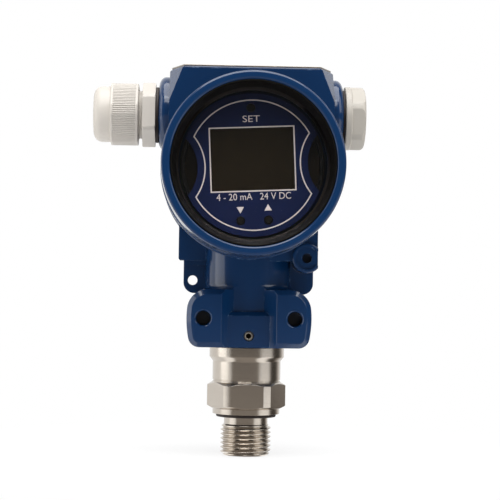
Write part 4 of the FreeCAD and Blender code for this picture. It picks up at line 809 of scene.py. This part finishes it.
def makeGlandBody(n):
    bm = cadCopy("gland_body")
    breakEdges(bm, 0.25, mouldedAngle)
    ridges = [(n["radius"] - n["root"], n["start"])]
    for i in range(n["turns"]):
        height = n["start"] + i * n["pitch"]
        ridges += [(n["radius"] - n["foot"], height), (n["radius"] + n["crest"], height + n["pitch"] / 2, 0.1)]
    ridges += [(n["radius"] - n["foot"], n["start"] + n["turns"] * n["pitch"]),
               (n["radius"] - n["root"], n["start"] + n["turns"] * n["pitch"])]
    thread = lathe(ridges, 96)
    put(thread, "left", places["entryAxis"])
    join(bm, thread)
    return finishPiece(bm, "glandBody", "housing", "gland_body")


def makePlug():
    bm = cadCopy("blanking_plug")
    breakEdges(bm, 0.3, mouldedAngle)
    # the plug takes the darker copy of the grey nylon, which is painted shade
    return finishPiece(bm, "blankingPlug", "blanking_plug", "blanking_plug", paintedShadeNylon)


swivelScrew = {"radius": 1.93, "socket": 1.1, "socketDepth": 2.4, "mouth": 1.22, "face": 1.35, "bevel": 0.5,
               "foot": 1.5}


def makeSwivelScrew(w):
    low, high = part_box("swivel_screw")
    middle = (low + high) / 2
    front = -low.y / mm
    back = -high.y / mm
    socket = w["socket"]
    bm = lathe([(0, front - w["socketDepth"]), (socket, front - w["socketDepth"]), (socket, front - 0.12),
                (w["mouth"], front), (w["face"], front), (w["radius"], front - w["bevel"]),
                (w["radius"], back + w["bevel"]), (w["foot"], back), (0, back)], 48, closed=False)
    # the round socket is widened to a hexagon
    sector = math.pi / 3
    for vert in bm.verts:
        radius = math.hypot(vert.co.x, vert.co.y)
        if abs(radius - socket * mm) < 0.02 * mm:
            off = (math.atan2(vert.co.y, vert.co.x) + sector / 2) % sector - sector / 2
            vert.co.x /= math.cos(off)
            vert.co.y /= math.cos(off)
    turn = Matrix.Translation(Vector((middle.x, 0, middle.z))) @ Matrix.Rotation(math.radians(90), 4, "X")
    bmesh.ops.transform(bm, matrix=turn, verts=bm.verts)
    return finishPiece(bm, "swivelScrew", "housing", "swivel_screw", screwSteel)


makeGlandNut(gland)
makeGlandBody(glandNeck)
makePlug()
makeSwivelScrew(swivelScrew)
makeNameplate(shoulder)
print("fittings ready")

for name, node in cadNodes.items():
    if node.hide_render:
        continue
    node.data.materials.clear()
    node.data.materials.append(finishes[slotOf[name]])
print("plain nodes dressed")


studio = {"floorHeight": -0.1, "floorRadius": 1500, "backLean": -0.40, "warmLow": (1.0, 0.86, 0.74),
          "frontLevel": 0.36, "stripLevel": 1.4, "paleStrips": ((-0.97, -0.25, 0), (0.88, -0.47, 0)),
          "roomLevel": 0.06, "ambient": 0.30, "cameraAt": (-21.5, -654.9, 66.3), "yaw": 1.94, "pitch": 1.66,
          "roll": 0.89, "lens": 112.8}
softBoxes = [
    {"name": "leftBox", "azimuth": -83, "elevation": 12, "distance": 1.0, "width": 0.62, "height": 1.2,
     "radiance": 1.7},
    {"name": "rightBox", "azimuth": 63, "elevation": 36, "distance": 1.0, "width": 0.60, "height": 0.75,
     "radiance": 2.2},
    {"name": "topBox", "azimuth": 0, "elevation": 78, "distance": 1.1, "width": 1.3, "height": 1.0,
     "radiance": 4.4},
    {"name": "frontFill", "azimuth": -10, "elevation": 48, "distance": 1.7, "width": 1.1, "height": 0.6,
     "radiance": 5.0},
]


def rayShare(tree, *kinds):
    # one where the ray is of one of these kinds
    path = tree.nodes.new("ShaderNodeLightPath")
    share = path.outputs[kinds[0]]
    for kind in kinds[1:]:
        share = mathNode(tree, "MAXIMUM", share, path.outputs[kind])
    return share


def rampOf(tree, value, low, high, bottom, top):
    ramp = tree.nodes.new("ShaderNodeMapRange")
    ramp.interpolation_type = "SMOOTHSTEP"
    for label, number in (("From Min", low), ("From Max", high), ("To Min", bottom), ("To Max", top)):
        ramp.inputs[label].default_value = number
    tree.links.new(value, ramp.inputs["Value"])
    return ramp.outputs["Result"]


def alignedTo(tree, direction, toward):
    dot = addNode(tree, "VectorMath", operation="DOT_PRODUCT")
    tree.links.new(direction, dot.inputs[0])
    dot.inputs[1].default_value = toward
    return dot.outputs["Value"]


def makeFloor(s):
    # plain white to the camera, and to mirrors as light as what lies in each direction
    material = bpy.data.materials.new("paleFloor")
    material.use_nodes = True
    tree = material.node_tree
    shader = tree.nodes["Principled BSDF"]
    where = tree.nodes.new("ShaderNodeTexCoord").outputs["Object"]
    grain = noiseOn(tree, where, 40.0, 3.0)
    tree.links.new(blendColours(tree, grain, (0.90, 0.90, 0.90), (0.93, 0.93, 0.93)), shader.inputs["Base Color"])
    shader.inputs["Roughness"].default_value = 0.8
    white = tree.nodes.new("ShaderNodeEmission")
    white.inputs["Color"].default_value = (1, 1, 1, 1)
    away = addNode(tree, "VectorMath", operation="LENGTH")
    tree.links.new(where, away.inputs[0])
    fade = tree.nodes.new("ShaderNodeMapRange")
    for label, value in (("From Min", 0.02), ("From Max", 0.16), ("To Min", 0.75), ("To Max", 1.0)):
        fade.inputs[label].default_value = value
    tree.links.new(away.outputs["Value"], fade.inputs["Value"])
    flat = addNode(tree, "VectorMath", operation="NORMALIZE")
    tree.links.new(where, flat.inputs[0])
    level = rampOf(tree, alignedTo(tree, flat.outputs[0], (s["backLean"], 1.0, 0)), 0.0, 0.7, 0.08, 1.0)
    front = rampOf(tree, alignedTo(tree, flat.outputs[0], (0, -1, 0)), 0.3, 0.8, 0, s["frontLevel"])
    level = mathNode(tree, "MAXIMUM", level, front)
    for toward in s["paleStrips"]:
        strip = rampOf(tree, alignedTo(tree, flat.outputs[0], toward), 0.87, 0.98, 0, s["stripLevel"])
        level = mathNode(tree, "MAXIMUM", level, strip)
    glossy = rayShare(tree, "Is Glossy Ray")
    seenStraight = rayShare(tree, "Is Camera Ray", "Is Transmission Ray")
    tree.links.new(blendColours(tree, mathNode(tree, "MAXIMUM", level, seenStraight), s["warmLow"], (1, 1, 1)),
                   white.inputs["Color"])
    tree.links.new(mathNode(tree, "MAXIMUM", mathNode(tree, "MULTIPLY", glossy, level), seenStraight),
                   white.inputs["Strength"])
    mix = tree.nodes.new("ShaderNodeMixShader")
    seen = mathNode(tree, "MULTIPLY", seenStraight, fade.outputs["Result"])
    tree.links.new(mathNode(tree, "MAXIMUM", seen, glossy), mix.inputs[0])
    tree.links.new(shader.outputs[0], mix.inputs[1])
    tree.links.new(white.outputs[0], mix.inputs[2])
    tree.links.new(mix.outputs[0], tree.nodes["Material Output"].inputs["Surface"])
    bm = bmesh.new()
    bmesh.ops.create_circle(bm, cap_ends=True, radius=s["floorRadius"] * mm, segments=96)
    bmesh.ops.translate(bm, vec=(0, 0, s["floorHeight"] * mm), verts=bm.verts)
    mesh = bpy.data.meshes.new("floor")
    bm.to_mesh(mesh)
    bm.free()
    floor = bpy.data.objects.new("floor", mesh)
    mesh.materials.append(material)
    bpy.context.scene.collection.objects.link(floor)


def makeWorld(s):
    # white backdrop behind the part, which metal, paint and glass mirror, and a dim room before it
    world = bpy.data.worlds.new("studio")
    bpy.context.scene.world = world
    world.use_nodes = True
    tree = world.node_tree
    background = tree.nodes["Background"]
    direction = tree.nodes.new("ShaderNodeTexCoord").outputs["Generated"]
    parts = addNode(tree, "SeparateXYZ")
    tree.links.new(direction, parts.inputs[0])
    behind = mathNode(tree, "MULTIPLY_ADD", parts.outputs["X"], s["backLean"], parts.outputs["Y"])
    level = rampOf(tree, behind, 0.0, 0.7, s["roomLevel"], 1.0)
    mirrored = mathNode(tree, "MULTIPLY", rayShare(tree, "Is Glossy Ray", "Is Transmission Ray"), level)
    straight = rayShare(tree, "Is Camera Ray")
    ambient = mathNode(tree, "MULTIPLY", rayShare(tree, "Is Diffuse Ray"), s["ambient"])
    strength = mathNode(tree, "MAXIMUM", straight, mathNode(tree, "MAXIMUM", mirrored, ambient))
    tree.links.new(strength, background.inputs["Strength"])
    background.inputs["Color"].default_value = (1, 1, 1, 1)


def softBox(name, azimuth, elevation, distance, width, height, radiance):
    # azimuth in degrees from the camera's side, to the right; a radiance of one looks as bright as the backdrop
    turn = math.radians(azimuth)
    rise = math.radians(elevation)
    aim = Vector((0, 0, 0.08))
    away = Vector((math.sin(turn) * math.cos(rise), -math.cos(turn) * math.cos(rise), math.sin(rise)))
    data = bpy.data.lights.new(name, "AREA")
    data.shape = "RECTANGLE"
    data.size = width
    data.size_y = height
    data.energy = radiance * math.pi * width * height
    lamp = bpy.data.objects.new(name, data)
    lamp.location = aim + away * distance
    lamp.rotation_euler = (-away).to_track_quat("-Z", "Y").to_euler()
    bpy.context.scene.collection.objects.link(lamp)


def makeCamera(s):
    data = bpy.data.cameras.new("camera")
    data.lens = s["lens"]
    data.clip_start = 0.01
    data.clip_end = 50
    camera = bpy.data.objects.new("camera", data)
    bpy.context.scene.collection.objects.link(camera)
    turn = (Matrix.Rotation(math.radians(-s["yaw"]), 4, "Z") @ Matrix.Rotation(math.radians(90 + s["pitch"]), 4, "X")
            @ Matrix.Rotation(math.radians(s["roll"]), 4, "Z"))
    camera.matrix_world = Matrix.Translation(Vector(s["cameraAt"]) * mm) @ turn
    bpy.context.scene.camera = camera


makeFloor(studio)
makeWorld(studio)
for box in softBoxes:
    softBox(**box)
makeCamera(studio)
bpy.context.scene.view_settings.view_transform = "Standard"
